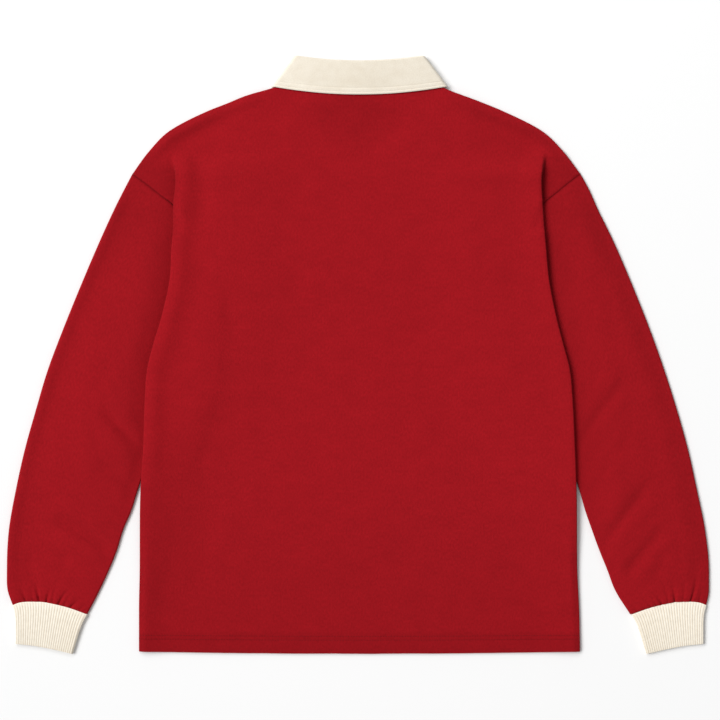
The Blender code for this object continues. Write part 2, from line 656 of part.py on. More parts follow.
def collar_half():
    """Rails of the collar from its back centre to its front end, and its facing angle.

    The angle is a quarter turn where the collar lies on the back, 0 at its side corner and
    minus a quarter turn where its leaf lies under the front.
    """
    back = np.linspace(0, 1, 8)
    front = np.linspace(0, 1, 7)
    corner = np.radians((60, 30, 0, -30, -60))
    angle = np.concatenate([np.full(len(back), np.pi / 2), corner, np.full(len(front), -np.pi / 2)])

    def rail(on_back, on_front):
        share = np.linspace(0, 1, len(corner) + 2)[1:-1, None]
        return np.concatenate([on_back, on_back[-1] + (on_front[0] - on_back[-1]) * share, on_front])

    fold_end = (FOLD_CORNER[0] - CORNER_INSET, FOLD_CORNER[1])
    fall_end = (FALL_CORNER[0] - CORNER_INSET, FALL_CORNER[1])
    fold_x = back * fold_end[0]
    fold_back = np.stack([fold_x, FOLD_CORNER[1] - FOLD_BACK_DIP * (1 - back ** 2)], axis=1)
    fold_front = bezier(fold_end, FOLD_FRONT_PULL, FOLD_FRONT, front)
    foot_x = back * (NECK_HALF - NECK_CLEAR)
    foot_back = np.stack([foot_x, neck_seam(foot_x, back_points()[0])], axis=1)
    foot_x = FOLD_FRONT[0] + (NECK_HALF - NECK_CLEAR - FOLD_FRONT[0]) * np.cos(front * np.pi / 2)
    foot_front = np.stack([foot_x, neck_seam(foot_x, front_points()[0])], axis=1)
    fall_x = back * fall_end[0]
    fall_back = np.stack([fall_x, FALL_BACK + (FALL_CORNER[1] - FALL_BACK) * back ** 2], axis=1)
    fall_front = bezier(fall_end, FALL_FRONT_PULL, FALL_POINT, front)
    return (rail(fold_back, fold_front), rail(foot_back, foot_front),
            rail(fall_back, fall_front), angle)


def collar_points():
    """Middle of the collar's wall: from the stand's foot over the fold to the fall's edge."""
    fold, foot, fall, angle = collar_half()
    share = (1 - np.sin(angle)) / 2
    fall_out = FALL_OUT_BACK + (FALL_OUT_FRONT - FALL_OUT_BACK) * share
    turn_radius = (fall_out - STAND_OUT) / 2
    rise = (fold - foot) / np.linalg.norm(fold - foot, axis=1, keepdims=True)
    crown = fold - rise * (COLLAR_WALL / 2 + turn_radius)[:, None]
    turn = np.radians(np.arange(0, 181, 36))
    stand_part = np.array((0, 0.5))
    fall_part = np.array((0.33, 0.67, 1))
    plan = [foot + (crown - foot) * part for part in stand_part]
    outs = [np.full(len(angle), STAND_OUT) for _ in stand_part]
    for step in turn:
        plan.append(crown + rise * (turn_radius * np.sin(step))[:, None])
        outs.append(STAND_OUT + turn_radius * (1 - np.cos(step)))
    for part in fall_part:
        plan.append(crown + (fall - crown) * part)
        outs.append(fall_out)
    plan, outs = np.array(plan), np.array(outs)
    x = plan[:, :, 0] + outs * np.cos(angle)
    z = RING_MID + outs * np.sin(angle)
    half = np.stack([x, plan[:, :, 1], z], axis=2)
    mirrored = half[:, :0:-1] * np.array([-1, 1, 1])
    return np.concatenate([mirrored, half], axis=1)


def placket_strip(name, half_width, foot, drop, wall, material):
    """Strip of the placket along the slot, its middle moved down from the front's by drop."""
    heights = np.linspace(PLACKET_TOP, foot, 9)
    x = np.tile(np.linspace(-half_width, half_width, 4), (len(heights), 1))
    y = np.tile(heights[:, None], (1, x.shape[1]))
    z = FRONT_MID + collar_lift(x, y) - drop
    keep = np.ones((x.shape[0] - 1, x.shape[1] - 1), dtype=bool)
    return cloth_sheet(name, np.stack([x, y, z], axis=2), keep, wall, material)


def button(name, height, material):
    """Flat round button with an eased rim, its face down on the floor."""
    profile = ((0, BUTTON_RADIUS - BUTTON_RIM), (BUTTON_RIM, BUTTON_RADIUS),
               (BUTTON_THICK, BUTTON_RADIUS))
    turn = np.linspace(0, 2 * np.pi, 25)[:-1]
    count = len(turn)
    vertices = np.concatenate([
        np.stack([radius * np.cos(turn), height + radius * np.sin(turn),
                  np.full(count, z)], axis=1) for z, radius in profile])
    faces = [tuple(reversed(range(count))), tuple(range(2 * count, 3 * count))]
    for level in range(2):
        for k in range(count):
            low, high = level * count, (level + 1) * count
            faces.append((low + k, low + (k + 1) % count, high + (k + 1) % count, high + k))
    return add_object(name, vertices, faces, material)


def cloth_material(name, colour, roughness):
    """Plain material of one piece."""
    material = bpy.data.materials.new(name)
    material.use_nodes = True
    shader = material.node_tree.nodes["Principled BSDF"]
    shader.inputs["Base Color"].default_value = colour
    shader.inputs["Roughness"].default_value = roughness
    shader.inputs["Metallic"].default_value = 0.0
    return material


def build_shirt():
    """Make every piece of the shirt as an object of its own."""
    for old in list(bpy.data.objects):
        bpy.data.objects.remove(old, do_unlink=True)
    points, keep = back_points()
    cloth_sheet("back", points, keep, WALL, cloth_material("back_jersey", RED, 0.85))
    points, keep = front_points()
    cloth_sheet("front", points, keep, WALL, cloth_material("front_jersey", RED, 0.85))
    for name, side in (("left", LEFT), ("right", RIGHT)):
        sleeve("sleeve_" + name, side, cloth_material("sleeve_jersey_" + name, RED, 0.85))
        cuff("cuff_" + name, side, cloth_material("cuff_rib_" + name, CREAM, 0.85))
    points = collar_points()
    whole = np.ones((points.shape[0] - 1, points.shape[1] - 1), dtype=bool)
    cloth_sheet("collar", points, whole, COLLAR_WALL, cloth_material("collar_twill", CREAM, 0.8))
    placket_strip("placket_under", SLOT_HALF - SEAM_GAP, PLACKET_FOOT + SEAM_GAP, 0, WALL,
                  cloth_material("placket_under_twill", CREAM, 0.8))
    over_drop = (WALL + PLACKET_WALL) / 2 + SEAM_GAP
    placket_strip("placket_over", PLACKET_OVER_HALF, PLACKET_FOOT - 2, over_drop, PLACKET_WALL,
                  cloth_material("placket_over_twill", CREAM, 0.8))
    for order, height in enumerate(BUTTON_HEIGHTS, start=1):
        button(f"button_{order}", height, cloth_material(f"button_{order}", BUTTON_CREAM, 0.45))


build_shirt()
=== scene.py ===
# %% [markdown]
# # A knit polo shirt, laid flat with its back up
#
# The shirt is a long-sleeved knit polo of heavy cotton jersey, with a cream twill collar and
# cream ribbed cuffs. Its solids were made first, as plain cloth walls, and they fix where every
# piece lies. This lesson dresses them: each plain wall is replaced by a finer shell of cloth on
# the same form, with its creases, seams, ribs and stitches. Sizes are in millimetres. A height is
# measured up from the hem, and a distance out from the shirt's centre line.

import bpy
import numpy as np
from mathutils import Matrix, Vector


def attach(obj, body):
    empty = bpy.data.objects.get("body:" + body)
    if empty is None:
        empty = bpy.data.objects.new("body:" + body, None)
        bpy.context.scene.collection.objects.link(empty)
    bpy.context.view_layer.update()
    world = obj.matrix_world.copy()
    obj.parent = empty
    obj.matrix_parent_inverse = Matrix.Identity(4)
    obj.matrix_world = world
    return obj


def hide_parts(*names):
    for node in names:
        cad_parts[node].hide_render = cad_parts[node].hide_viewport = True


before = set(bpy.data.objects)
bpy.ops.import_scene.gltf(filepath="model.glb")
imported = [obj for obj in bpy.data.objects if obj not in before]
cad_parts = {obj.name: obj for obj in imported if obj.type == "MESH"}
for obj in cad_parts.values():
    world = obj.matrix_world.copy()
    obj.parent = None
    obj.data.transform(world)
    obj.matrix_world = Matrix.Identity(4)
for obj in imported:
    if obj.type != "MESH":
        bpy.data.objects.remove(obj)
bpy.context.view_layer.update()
print("solids:", sorted(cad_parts))

# %% [markdown]
# ## The measures of the cut
#
# A shirt is cut from a few outlines, so the whole form comes from small tables: the shoulder,
# the armhole, the side of the body, and the two edges of a sleeve. The tables are the same as
# those of the solids, because the cloth has to lie where the solids lie.

# %% The layers of cloth
MM = 0.001
CENTRE = np.array([-2.0, 387.8, 0.0])   # middle of the outline, which is the frame's origin
WALL, CLOTH = 1.5, 1.3                  # the solids' jersey, and the cloth drawn inside it
SEAM_GAP, SEWN_GAP = 0.3, 0.05          # between the solids at a seam, and between the cloths
TURN = 1.25                             # radius of a turned edge, at the middle of the wall
FRONT_MID = WALL / 2
BACK_MID = FRONT_MID + 2 * TURN + SEAM_GAP
TUBE_THICK = BACK_MID + WALL / 2
OVER_SLEEVE = 4 * TURN                  # rise of the body where it lies on a sleeve
OVER_COLLAR = 3.7                       # and where it lies on the collar's leaves
LEFT, RIGHT = 1, 2                      # columns of the outline tables
print(f"the back's middle is {BACK_MID:.2f} mm up, and a flat sleeve is {TUBE_THICK:.2f} mm thick")

# %% The outlines: height, left half-width, right half-width
SHOULDER = (
    (623, 295, 287), (654, 272, 263), (680, 245, 235), (706, 194, 183), (714, 173, 163),
    (725, 145, 133), (730, 127, 119), (735.5, 109, 108), (740, 103, 101), (745.5, 94, 93))
ARMHOLE = (
    (401, 219, 219), (435, 221, 220), (470, 223, 221), (510, 225, 222), (548, 228, 225.5),
    (566, 233, 230), (583, 242, 237), (596, 259, 253), (610, 277, 270), (623, 295, 287))
BODY_FOLD = (
    (0, 286.5, 286.5), (56, 286.5, 285.5), (108, 285.5, 283), (212, 284, 281.5),
    (266, 280.5, 279.5), (337, 278, 276), (368, 275.5, 273), (403, 267, 264),
    (436, 257, 255.5), (487, 246, 245.5), (524, 244, 242), (548, 242, 240), (583, 241.5, 237.5),
    (614, 238.5, 236), (635, 239, 238), (654, 240, 239), (680, 220, 215), (706, 172, 160),
    (730, 104, 97), (745.5, 74, 73))
SLEEVE_OUTER = (
    (63, 450.5, 450.5), (82, 457, 454), (108, 458, 454), (160, 455.5, 449), (212, 446.5, 438.5),
    (264, 435, 427), (316, 420.5, 412.5), (368, 405, 396), (420, 385.5, 377.5),
    (472, 364.5, 357), (524, 342.5, 335), (550, 331, 323), (576, 319, 310), (602, 306, 298.5),
    (623, 295, 287))
SLEEVE_INNER = (
    (51, 353.5, 351.5), (82, 337.5, 332), (108, 325.5, 322), (134, 315, 311.5),
    (160, 307, 302), (186, 296, 293), (212, 288, 285.5), (401, 219, 219))
CUFF_JOIN = (
    (0.0, 63, 450.5), (0.10, 66.5, 441), (0.36, 67.5, 415.5), (0.56, 64.5, 396),
    (0.76, 59.5, 376.5), (1.0, 51, 353))
CUFF_END = ((0.0, 13, 446.5), (0.34, 10.5, 422), (0.68, 5.5, 396), (1.0, 0, 372.5))

# %% Where the pieces begin and end
NECK_TOP, SHOULDER_END, CAP_END, ARMPIT = 745.5, 623, 548, 401
NECK_HALF = 94
BACK_NECK_DROP, FRONT_NECK_DROP = 9, 68
BACK_NECK_REACH, FRONT_NECK_REACH = 60, 186   # how far down the rows still curve with the neck
FRONT_NECK_POWER = 0.75                       # below 1, so that the front's neck is fuller
PLEAT_TOP, PLEAT_FULL = 654, 600              # where the fold over the armhole begins, and is flat
PLEAT_RUN, PLEAT_TURNED = 14, 0.85            # its reversed layer, and the share where it starts
COVER_FADE, BRIDGE_FADE, LIMIT_FADE = 45, 120, 40
SHELF_ROW = 365                               # the front reaches over the sleeve from here down
HEM_RISE = 3
SLOT_HALF, PLACKET_FOOT = 15, 528
print(f"neck to hem {NECK_TOP} mm, shoulder's end at {SHOULDER_END} mm, armpit at {ARMPIT} mm")

# %% [markdown]
# ## Curves and soft creases
#
# Between two rows of a table the outline is a cubic curve, so it stays smooth. Cloth folds are
# seldom straight, so each crease is a chain of points with a rise and a breadth: a bell-shaped
# ridge, or a trough where the rise is negative, that fades out at both ends. Placing them one by
# one, in uneven sizes, looks more like worn cloth than any regular wave does.

# %% Curves


def ease(t):
    """Three t squared less two t cubed, from 0 at t = 0 to 1 at t = 1."""
    t = np.clip(t, 0, 1)
    return t * t * (3 - 2 * t)


def smooth_through(knots, values, at):
    """Cubic Hermite curve through the values, its slope the mean of the two secants."""
    step = np.diff(knots)
    secant = np.diff(values) / step
    slope = np.concatenate([secant[:1], (secant[:-1] + secant[1:]) / 2, secant[-1:]])
    slope[np.concatenate([[False], secant[:-1] * secant[1:] <= 0, [False]])] = 0
    at = np.clip(np.asarray(at, dtype=float), knots[0], knots[-1])
    k = np.clip(np.searchsorted(knots, at, side="right") - 1, 0, len(knots) - 2)
    t = (at - knots[k]) / step[k]
    return (values[k] + (values[k + 1] - values[k]) * ease(t)
            + step[k] * slope[k] * (t ** 3 - 2 * t ** 2 + t)
            + step[k] * slope[k + 1] * (t ** 3 - t ** 2))


def column(table, heights, side):
    """An outline's half-width at the given heights."""
    rows = np.array(table, dtype=float)
    return smooth_through(rows[:, 0], rows[:, side], heights)


def by_side(table, x, height):
    """An outline's half-width on the side where each point lies."""
    return np.where(x < 0, column(table, height, LEFT), column(table, height, RIGHT))


def steps_between(stops, sizes):
    """Values from stop to stop, each stretch in even steps of about the given size."""
    runs = [np.linspace(a, b, max(2, int(round(abs(b - a) / size)) + 1))[:-1]
            for a, b, size in zip(stops[:-1], stops[1:], sizes)]
    return np.concatenate(runs + [[stops[-1]]])


# %% Creases and the hand of the cloth


def along_chain(x, height, chain):
    """Distance to a chain of points, and the share of its length at the nearest place."""
    chain = np.array(chain, dtype=float)
    legs = np.diff(chain, axis=0)
    lengths = np.hypot(legs[:, 0], legs[:, 1])
    reach = np.concatenate([[0], np.cumsum(lengths)])
    best = np.full(x.shape, np.inf)
    share = np.zeros(x.shape)
    for start, leg, length, before in zip(chain[:-1], legs, lengths, reach[:-1]):
        run = ((x - start[0]) * leg[0] + (height - start[1]) * leg[1]) / length
        near = np.clip(run, 0, length)
        away = np.hypot(x - start[0] - near * leg[0] / length,
                        height - start[1] - near * leg[1] / length)
        closer = away < best
        best = np.where(closer, away, best)
        share = np.where(closer, (before + near) / reach[-1], share)
    return best, share


def creases(x, height, table):
    """Sum of creases: rise times a bell of the distance over the breadth, faded at the ends."""
    x, height = np.broadcast_arrays(x, height)
    total = np.zeros(x.shape)
    for rise, breadth, chain in table:
        away, share = along_chain(x, height, chain)
        fade = ease(share / 0.28) * ease((1 - share) / 0.28)
        total += rise * fade * np.exp(-(away / breadth) ** 2)
    return total


def hand_of_cloth(u, v):
    """Faint unevenness of laid jersey: six sines of 23 to 90 mm in different directions."""
    waves = ((0.5, 90, 0.3), (0.9, 61, 1.4), (2.2, 47, 2.0), (2.9, 38, 4.1), (0.1, 31, 5.2),
             (1.7, 23, 0.9))
    total = 0
    for turn, length, phase in waves:
        total = total + length * np.sin(
            2 * np.pi * (u * np.cos(turn) + v * np.sin(turn)) / length + phase)
    return total / 260


# %% [markdown]
# ## From a grid of points to a closed piece of cloth
#
# Every piece is worked out as a grid: rows and columns of points on the middle of the cloth.
# Half the cloth's thickness along the normals, up and down, gives its two faces, and a strip
# round the rim closes them. A mask says which cells are cloth, so one grid can have slots.

# %% Grids of points


def to_world(points):
    """Millimetres of the cut to metres of the frame."""
    return (points - CENTRE) * MM


def unit_normals(points):
    """Cross product of the slopes along rows and columns, at unit length."""
    normal = np.cross(np.gradient(points, axis=1, edge_order=2),
                      -np.gradient(points, axis=0, edge_order=2))
    return normal / np.linalg.norm(normal, axis=2, keepdims=True)


def grid_quads(keep):
    """Corners of the kept cells of a grid, anticlockwise seen from above."""
    rows, cols = keep.shape[0] + 1, keep.shape[1] + 1
    index = np.arange(rows * cols).reshape(rows, cols)
    corners = (index[:-1, :-1], index[1:, :-1], index[1:, 1:], index[:-1, 1:])
    return np.stack([corner[keep] for corner in corners], axis=1), corners


# %% Faces of a closed sheet and of a tube


def sheet_quads(keep):
    """Quads of a closed sheet: upper grid, lower grid turned over, and the rim."""
    top, corners = grid_quads(keep)
    under = (keep.shape[0] + 1) * (keep.shape[1] + 1)
    padded = np.pad(keep, 1)
    sides = ((padded[1:-1, :-2], 0, 1), (padded[2:, 1:-1], 1, 2),
             (padded[1:-1, 2:], 2, 3), (padded[:-2, 1:-1], 3, 0))
    parts = [top, top[:, ::-1] + under]
    for neighbour, a, b in sides:
        bare = keep & ~neighbour
        p, q = corners[a][bare], corners[b][bare]
        parts.append(np.stack([q, p, p + under, q + under], axis=1))
    return np.concatenate(parts)


def ring_quads(rings, count, start=0):
    """Quads of a tube of rings, facing out where the points run clockwise from the start."""
    k = np.arange(count)
    ring = np.arange(rings - 1)[:, None] * count + start
    following = (k + 1) % count
    return np.stack([ring + k, ring + following, ring + count + following, ring + count + k],
                    axis=2).reshape(-1, 4)


# %% A mesh, and a piece that rides on the shirt


def make_mesh(name, points, quads, uv=None, shade=None, sharp=60):
    """Mesh from points in millimetres, with its own cloth coordinates and shade attribute."""
    used, order = np.unique(quads, return_inverse=True)
    order = order.reshape(-1, 4)
    mesh = bpy.data.meshes.new(name)
    mesh.from_pydata(to_world(points[used]).tolist(), [], order.tolist())
    if uv is not None:
        layer = mesh.uv_layers.new(name="cloth")
        layer.data.foreach_set("uv", (uv[used] * MM)[order.ravel()].ravel())
    if shade is not None:
        attribute = mesh.attributes.new("shade", "FLOAT", "POINT")
        attribute.data.foreach_set("value", shade[used].astype(np.float32))
    mesh.shade_smooth()
    mesh.set_sharp_from_angle(angle=np.radians(sharp))
    return mesh


def make_piece(name, mesh, material, nodes=()):
    """Object of a mesh that rides on the shirt and stands for the given solids."""
    mesh.materials.append(material)
    made = bpy.data.objects.new(name, mesh)
    bpy.context.scene.collection.objects.link(made)
    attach(made, "root")
    for node in nodes:
        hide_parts(node)
    mesh.calc_loop_triangles()
    area = sum(face.area for face in mesh.polygons)
    print(f"{name}: {len(mesh.loop_triangles)} triangles, cloth area {area / 2:.4f} m2")
    return made


def cloth_sheet(name, middle, cloth, keep=None, uv=None, shade=None):
    """Mesh of a closed sheet round its middle grid, whole and mapped in plan unless told."""
    keep = np.ones((middle.shape[0] - 1, middle.shape[1] - 1), dtype=bool) if keep is None else keep
    uv = middle[:, :, :2] if uv is None else uv
    half = unit_normals(middle) * cloth / 2
    points = np.concatenate([(middle + half).reshape(-1, 3), (middle - half).reshape(-1, 3)])
    both = None if shade is None else np.tile(shade.ravel(), 2)
    return make_mesh(name, points, sheet_quads(keep), np.tile(uv.reshape(-1, 2), (2, 1)), both)


# %% [markdown]
# ## Finishes
#
# Jersey is matt with a soft bloom at grazing angles, which is what sheen does. Its stitches are
# about a millimetre wide, finer than the picture shows, so they are a bump and a slight grain.
# The dye takes a little unevenly, which a slow noise gives. Twill has fine diagonal lines. A rib's
# grooves are painted darker and yellower than its crests, as painted shade. Each mesh carries a
# shade attribute of painted shade where the cloth would lie in shadow, and the finishes read it.

# %% A small kit for materials


def new_finish(name, roughness, sheen=0.0, specular=0.3):
    """Material whose shader has its plain numbers on its own sockets."""
    material = bpy.data.materials.new(name)
    material.use_nodes = True
    shader = material.node_tree.nodes["Principled BSDF"]
    shader.inputs["Roughness"].default_value = roughness
    shader.inputs["Specular IOR Level"].default_value = specular
    shader.inputs["Sheen Weight"].default_value = sheen
    shader.inputs["Sheen Roughness"].default_value = 0.5
    return material, shader


class Wiring:
    """Short names for adding and joining a material's nodes."""

    def __init__(self, material):
        self.tree = material.node_tree

    def add(self, kind, **settings):
        """A new node with the given settings."""
        node = self.tree.nodes.new(kind)
        for key, value in settings.items():
            setattr(node, key, value)
        return node

    def join(self, source, target):
        """A link from a node's output to another's input."""
        self.tree.links.new(source, target)

    def feed(self, values, sockets):
        """Give each socket its value: a number, a colour, or another node's output."""
        for value, socket in zip(values, sockets):
            if isinstance(value, (int, float)):
                socket.default_value = value
            elif isinstance(value, tuple):
                socket.default_value = (*value, 1)
            else:
                self.join(value, socket)

    def object_place(self):
        """Places on the piece in metres of the frame, for what has no cloth coordinates."""
        return self.add("ShaderNodeTexCoord").outputs["Object"]

    def shade(self):
        """The mesh's own shade, from 0 to 1."""
        return self.add("ShaderNodeAttribute", attribute_name="shade").outputs["Fac"]

    def cloth_place(self, turn=0.0, scale=(1, 1, 1)):
        """The piece's own cloth coordinates in metres, turned and scaled."""
        coordinates = self.add("ShaderNodeUVMap", uv_map="cloth")
        mapping = self.add("ShaderNodeMapping")
        mapping.inputs["Rotation"].default_value = (0, 0, turn)
        mapping.inputs["Scale"].default_value = scale
        self.join(coordinates.outputs["UV"], mapping.inputs["Vector"])
        return mapping.outputs["Vector"]

    def noise(self, place, size, detail=2.0, roughness=0.5):
        """Noise with features of about the given size in metres."""
        node = self.add("ShaderNodeTexNoise")
        node.inputs["Scale"].default_value = 1 / size
        node.inputs["Detail"].default_value = detail
        node.inputs["Roughness"].default_value = roughness
        self.join(place, node.inputs["Vector"])
        return node.outputs["Fac"]

    def bands(self, place, pitch):
        """Even sine bands across the first coordinate, one for each pitch in metres."""
        node = self.add("ShaderNodeTexWave", wave_type="BANDS", bands_direction="X")
        node.inputs["Scale"].default_value = np.pi / (10 * pitch)
        self.join(place, node.inputs["Vector"])
        return node.outputs["Fac"]

    def math(self, operation, a, b):
        """Sum or product of two values."""
        node = self.add("ShaderNodeMath", operation=operation)
        self.feed((a, b), node.inputs)
        return node.outputs["Value"]

    def ramp(self, value, stops):
        """Colours at the given values, blended between them."""
        node = self.add("ShaderNodeValToRGB")
        elements = node.color_ramp.elements
        while len(elements) < len(stops):
            elements.new(0.5)
        for element, (position, colour) in zip(elements, stops):
            element.position = position
            element.color = (*colour, 1)
        self.join(value, node.inputs["Fac"])
        return node.outputs["Color"]

    def blend(self, share, first, second, kind="MIX"):
        """Mix of two colours by a share."""
        node = self.add("ShaderNodeMix", data_type="RGBA", blend_type=kind)
        self.feed((share, first, second), (node.inputs[0], node.inputs[6], node.inputs[7]))
        return node.outputs[2]

    def bump(self, height, distance, shader):
        """Relief of the given height in metres."""
        node = self.add("ShaderNodeBump")
        node.inputs["Strength"].default_value = 1.0
        node.inputs["Distance"].default_value = distance
        self.join(height, node.inputs["Height"])
        self.join(node.outputs["Normal"], shader.inputs["Normal"])


# %% Red jersey
RED_DEEP = (0.302, 0.0061, 0.0106)
RED_MID = (0.323, 0.0066, 0.0113)
RED_LIGHT = (0.344, 0.0071, 0.0121)
# Multiplier of the red where the painted shade is deepest.
PAINTED_SHADE_ON_RED = (0.48, 0.46, 0.46)
SHEEN_RED = (0.85, 0.25, 0.25, 1)


def jersey_finish(name):
    """A slow noise for the dye, a fast one for the grain, and slanted bands for stitches."""
    material, shader = new_finish(name, 0.95, sheen=0.06, specular=0.06)
    shader.inputs["Sheen Tint"].default_value = SHEEN_RED
    wire = Wiring(material)
    place = wire.cloth_place(scale=(0.7, 1, 1))
    dye = wire.noise(place, 0.020, detail=5.0, roughness=0.64)
    colour = wire.ramp(dye, ((0.22, RED_DEEP), (0.50, RED_MID), (0.78, RED_LIGHT)))
    grain = wire.noise(wire.cloth_place(scale=(1, 0.6, 1)), 0.0022, detail=2.0)
    fleck = wire.ramp(grain, ((0.30, (0.89, 0.89, 0.89)), (0.70, (1.09, 1.09, 1.09))))
    grained = wire.blend(1.0, colour, fleck, "MULTIPLY")
    # Painted shade: the mesh's shade attribute darkens the dye towards the shade colour.
    wire.join(wire.blend(wire.shade(), grained, PAINTED_SHADE_ON_RED, "MULTIPLY"),
              shader.inputs["Base Color"])
    left_legs = wire.bands(wire.cloth_place(turn=0.45), 0.0011)
    right_legs = wire.bands(wire.cloth_place(turn=-0.45), 0.0011)
    stitches = wire.math("MULTIPLY", left_legs, right_legs)
    wire.bump(wire.math("ADD", stitches, wire.math("MULTIPLY", grain, 0.8)), 0.00022, shader)
    return material


JERSEY = jersey_finish("red_jersey")

# %% Cream twill and cream rib
# Painted shade on the rib: the deepest cream is its shaded groove, and the rib colours go up to its
# lit crest.
RIB_GROOVE_SHADED = (0.74, 0.63, 0.48)
CREAM_MID = (0.885, 0.815, 0.70)
CREAM_LIGHT = (0.92, 0.865, 0.76)
RIB_MID, RIB_CREST_LIT = (0.87, 0.79, 0.66), (0.92, 0.857, 0.75)
TWILL_DEEP = (0.80, 0.725, 0.60)
# Multiplier of the cream where the painted shade is deepest.
PAINTED_SHADE_ON_TWILL = (0.86, 0.84, 0.80)


def twill_finish(name):
    """Fine diagonal ridges, with a slow noise for the unbleached cotton."""
    material, shader = new_finish(name, 0.85, sheen=0.12, specular=0.2)
    wire = Wiring(material)
    dye = wire.noise(wire.cloth_place(), 0.012, detail=4.0)
    lines = wire.bands(wire.cloth_place(turn=0.9), 0.0013)
    value = wire.math("ADD", wire.math("MULTIPLY", dye, 0.7), wire.math("MULTIPLY", lines, 0.3))
    colour = wire.ramp(value, ((0.15, TWILL_DEEP), (0.5, CREAM_MID), (0.85, CREAM_LIGHT)))
    thread = wire.noise(wire.cloth_place(scale=(1, 2, 1)), 0.0018)
    fleck = wire.ramp(thread, ((0.3, (0.93, 0.925, 0.91)), (0.7, (1.05, 1.05, 1.05))))
    woven = wire.blend(1.0, colour, fleck, "MULTIPLY")
    # Painted shade: the mesh's shade attribute darkens the twill, on the collar's nape and over all
    # but its lip.
    wire.join(wire.blend(wire.shade(), woven, PAINTED_SHADE_ON_TWILL, "MULTIPLY"),
              shader.inputs["Base Color"])
    wire.bump(wire.math("ADD", lines, thread), 0.00022, shader)
    return material


def rib_finish(name):
    """Painted shade from crest to groove by the shade attribute, with small stitches across each
    rib.
    """
    material, shader = new_finish(name, 0.88, sheen=0.12, specular=0.2)
    wire = Wiring(material)
    colour = wire.ramp(wire.shade(), ((0.0, RIB_GROOVE_SHADED), (0.45, RIB_MID), (1.0, RIB_CREST_LIT)))
    dye = wire.noise(wire.cloth_place(), 0.006, detail=3.0)
    fleck = wire.ramp(dye, ((0.3, (0.95, 0.94, 0.92)), (0.7, (1.03, 1.03, 1.03))))
    wire.join(wire.blend(1.0, colour, fleck, "MULTIPLY"), shader.inputs["Base Color"])
    stitches = wire.bands(wire.cloth_place(turn=np.pi / 2), 0.0013)
    wire.bump(wire.math("ADD", stitches, dye), 0.00018, shader)
    return material


TWILL = twill_finish("cream_twill")
RIB = rib_finish("cream_rib")

# %% Threads and buttons


def thread_finish(name, dark, light):
    """Twisted sewing thread: fine uneven bands between two close colours."""
    material, shader = new_finish(name, 0.85, sheen=0.03, specular=0.12)
    wire = Wiring(material)
    bands = wire.noise(wire.object_place(), 0.0009)
    wire.join(wire.ramp(bands, ((0.3, dark), (0.7, light))), shader.inputs["Base Color"])
    wire.bump(bands, 0.00008, shader)
    return material


def button_finish(name):
    """Cast resin: a slow cloud of two creams under a satin face."""
    material, shader = new_finish(name, 0.38, specular=0.5)
    wire = Wiring(material)
    cloud = wire.noise(wire.object_place(), 0.004, detail=3.0)
    wire.join(wire.ramp(cloud, ((0.3, (0.74, 0.69, 0.58)), (0.7, (0.82, 0.78, 0.69)))),
              shader.inputs["Base Color"])
    wire.bump(cloud, 0.00004, shader)
    return material


RED_THREAD = thread_finish("red_thread", (0.13, 0.002, 0.004), (0.19, 0.0035, 0.006))
CREAM_THREAD = thread_finish("cream_thread", (0.74, 0.67, 0.55), (0.88, 0.83, 0.73))
BUTTON = button_finish("cream_button")

# %% [markdown]
# ## The lie of the body
#
# Where the body lies on a sleeve it is raised by the sleeve's thickness, and over the collar's
# leaves and the placket it is raised a little too. Both panels use the same rules, and what the
# back adds of its own only raises it, so it stays above the front. The creases come on top: a
# rolled rim along each shoulder with a trough inside it, a soft crown along the fold over the
# sleeve, and long hollows.

# %% What lifts the body
LEAVES_OUT, LEAVES_FOOT = 122, 585             # how far out and down the collar's leaves lift it
STRIP_OUT, STRIP_FOOT = 22, 478                # and the placket
DOME_FOOT = 400                                # and the dome in which the back spans both


def collar_lift(x, height):
    """Rise over the collar's leaves and the placket, as the union of two soft steps."""
    leaves = (1 - ease((np.abs(x) - LEAVES_OUT) / 70)) * ease((height - LEAVES_FOOT) / 50)
    placket = (1 - ease((np.abs(x) - STRIP_OUT) / 45)) * ease((height - STRIP_FOOT) / 42)
    return OVER_COLLAR * (1 - (1 - leaves) * (1 - placket))


def bridged_lift(x, height):
    """The back's rise: it spans the hollows beside the leaves and the placket in a wide dome."""
    reach = 1 - ease((np.abs(x) - LEAVES_OUT) / 100)
    dome = OVER_COLLAR * reach * ease((height - DOME_FOOT) / 120)
    edge = np.where(height > SHOULDER_END, by_side(SHOULDER, x, height),
                    by_side(BODY_FOLD, x, height))
    inside = edge - np.abs(x)
    own = collar_lift(x, height)
    return own + (np.maximum(dome, own) - own) * ease(inside / 60)


def sleeve_cover(x, height, side, fade=COVER_FADE):
    """1 where the body lies on the sleeve, easing to 0 over the fade's breadth further in."""
    fold = column(BODY_FOLD, height, side) - PLEAT_RUN - 2 * TURN - 2
    arm = column(ARMHOLE, height, side)
    inner = column(SLEEVE_INNER, height, side)
    limit = fold + (arm - fold) * ease((CAP_END + LIMIT_FADE - height) / LIMIT_FADE)
    limit = np.where(height > ARMPIT, limit, inner)
    margin = 8 + 22 * ease((height - 250) / 100)
    return 1 - ease((limit - margin - np.abs(x)) / fade)


# %% What swells beside the fold: rise, start, breadth, foot and its run, run at the outer edge
SWELLS = {LEFT: (4.2, 0.8, 13, 150, 130, 110), RIGHT: (2.0, 12, 50, 60, 80, 34)}


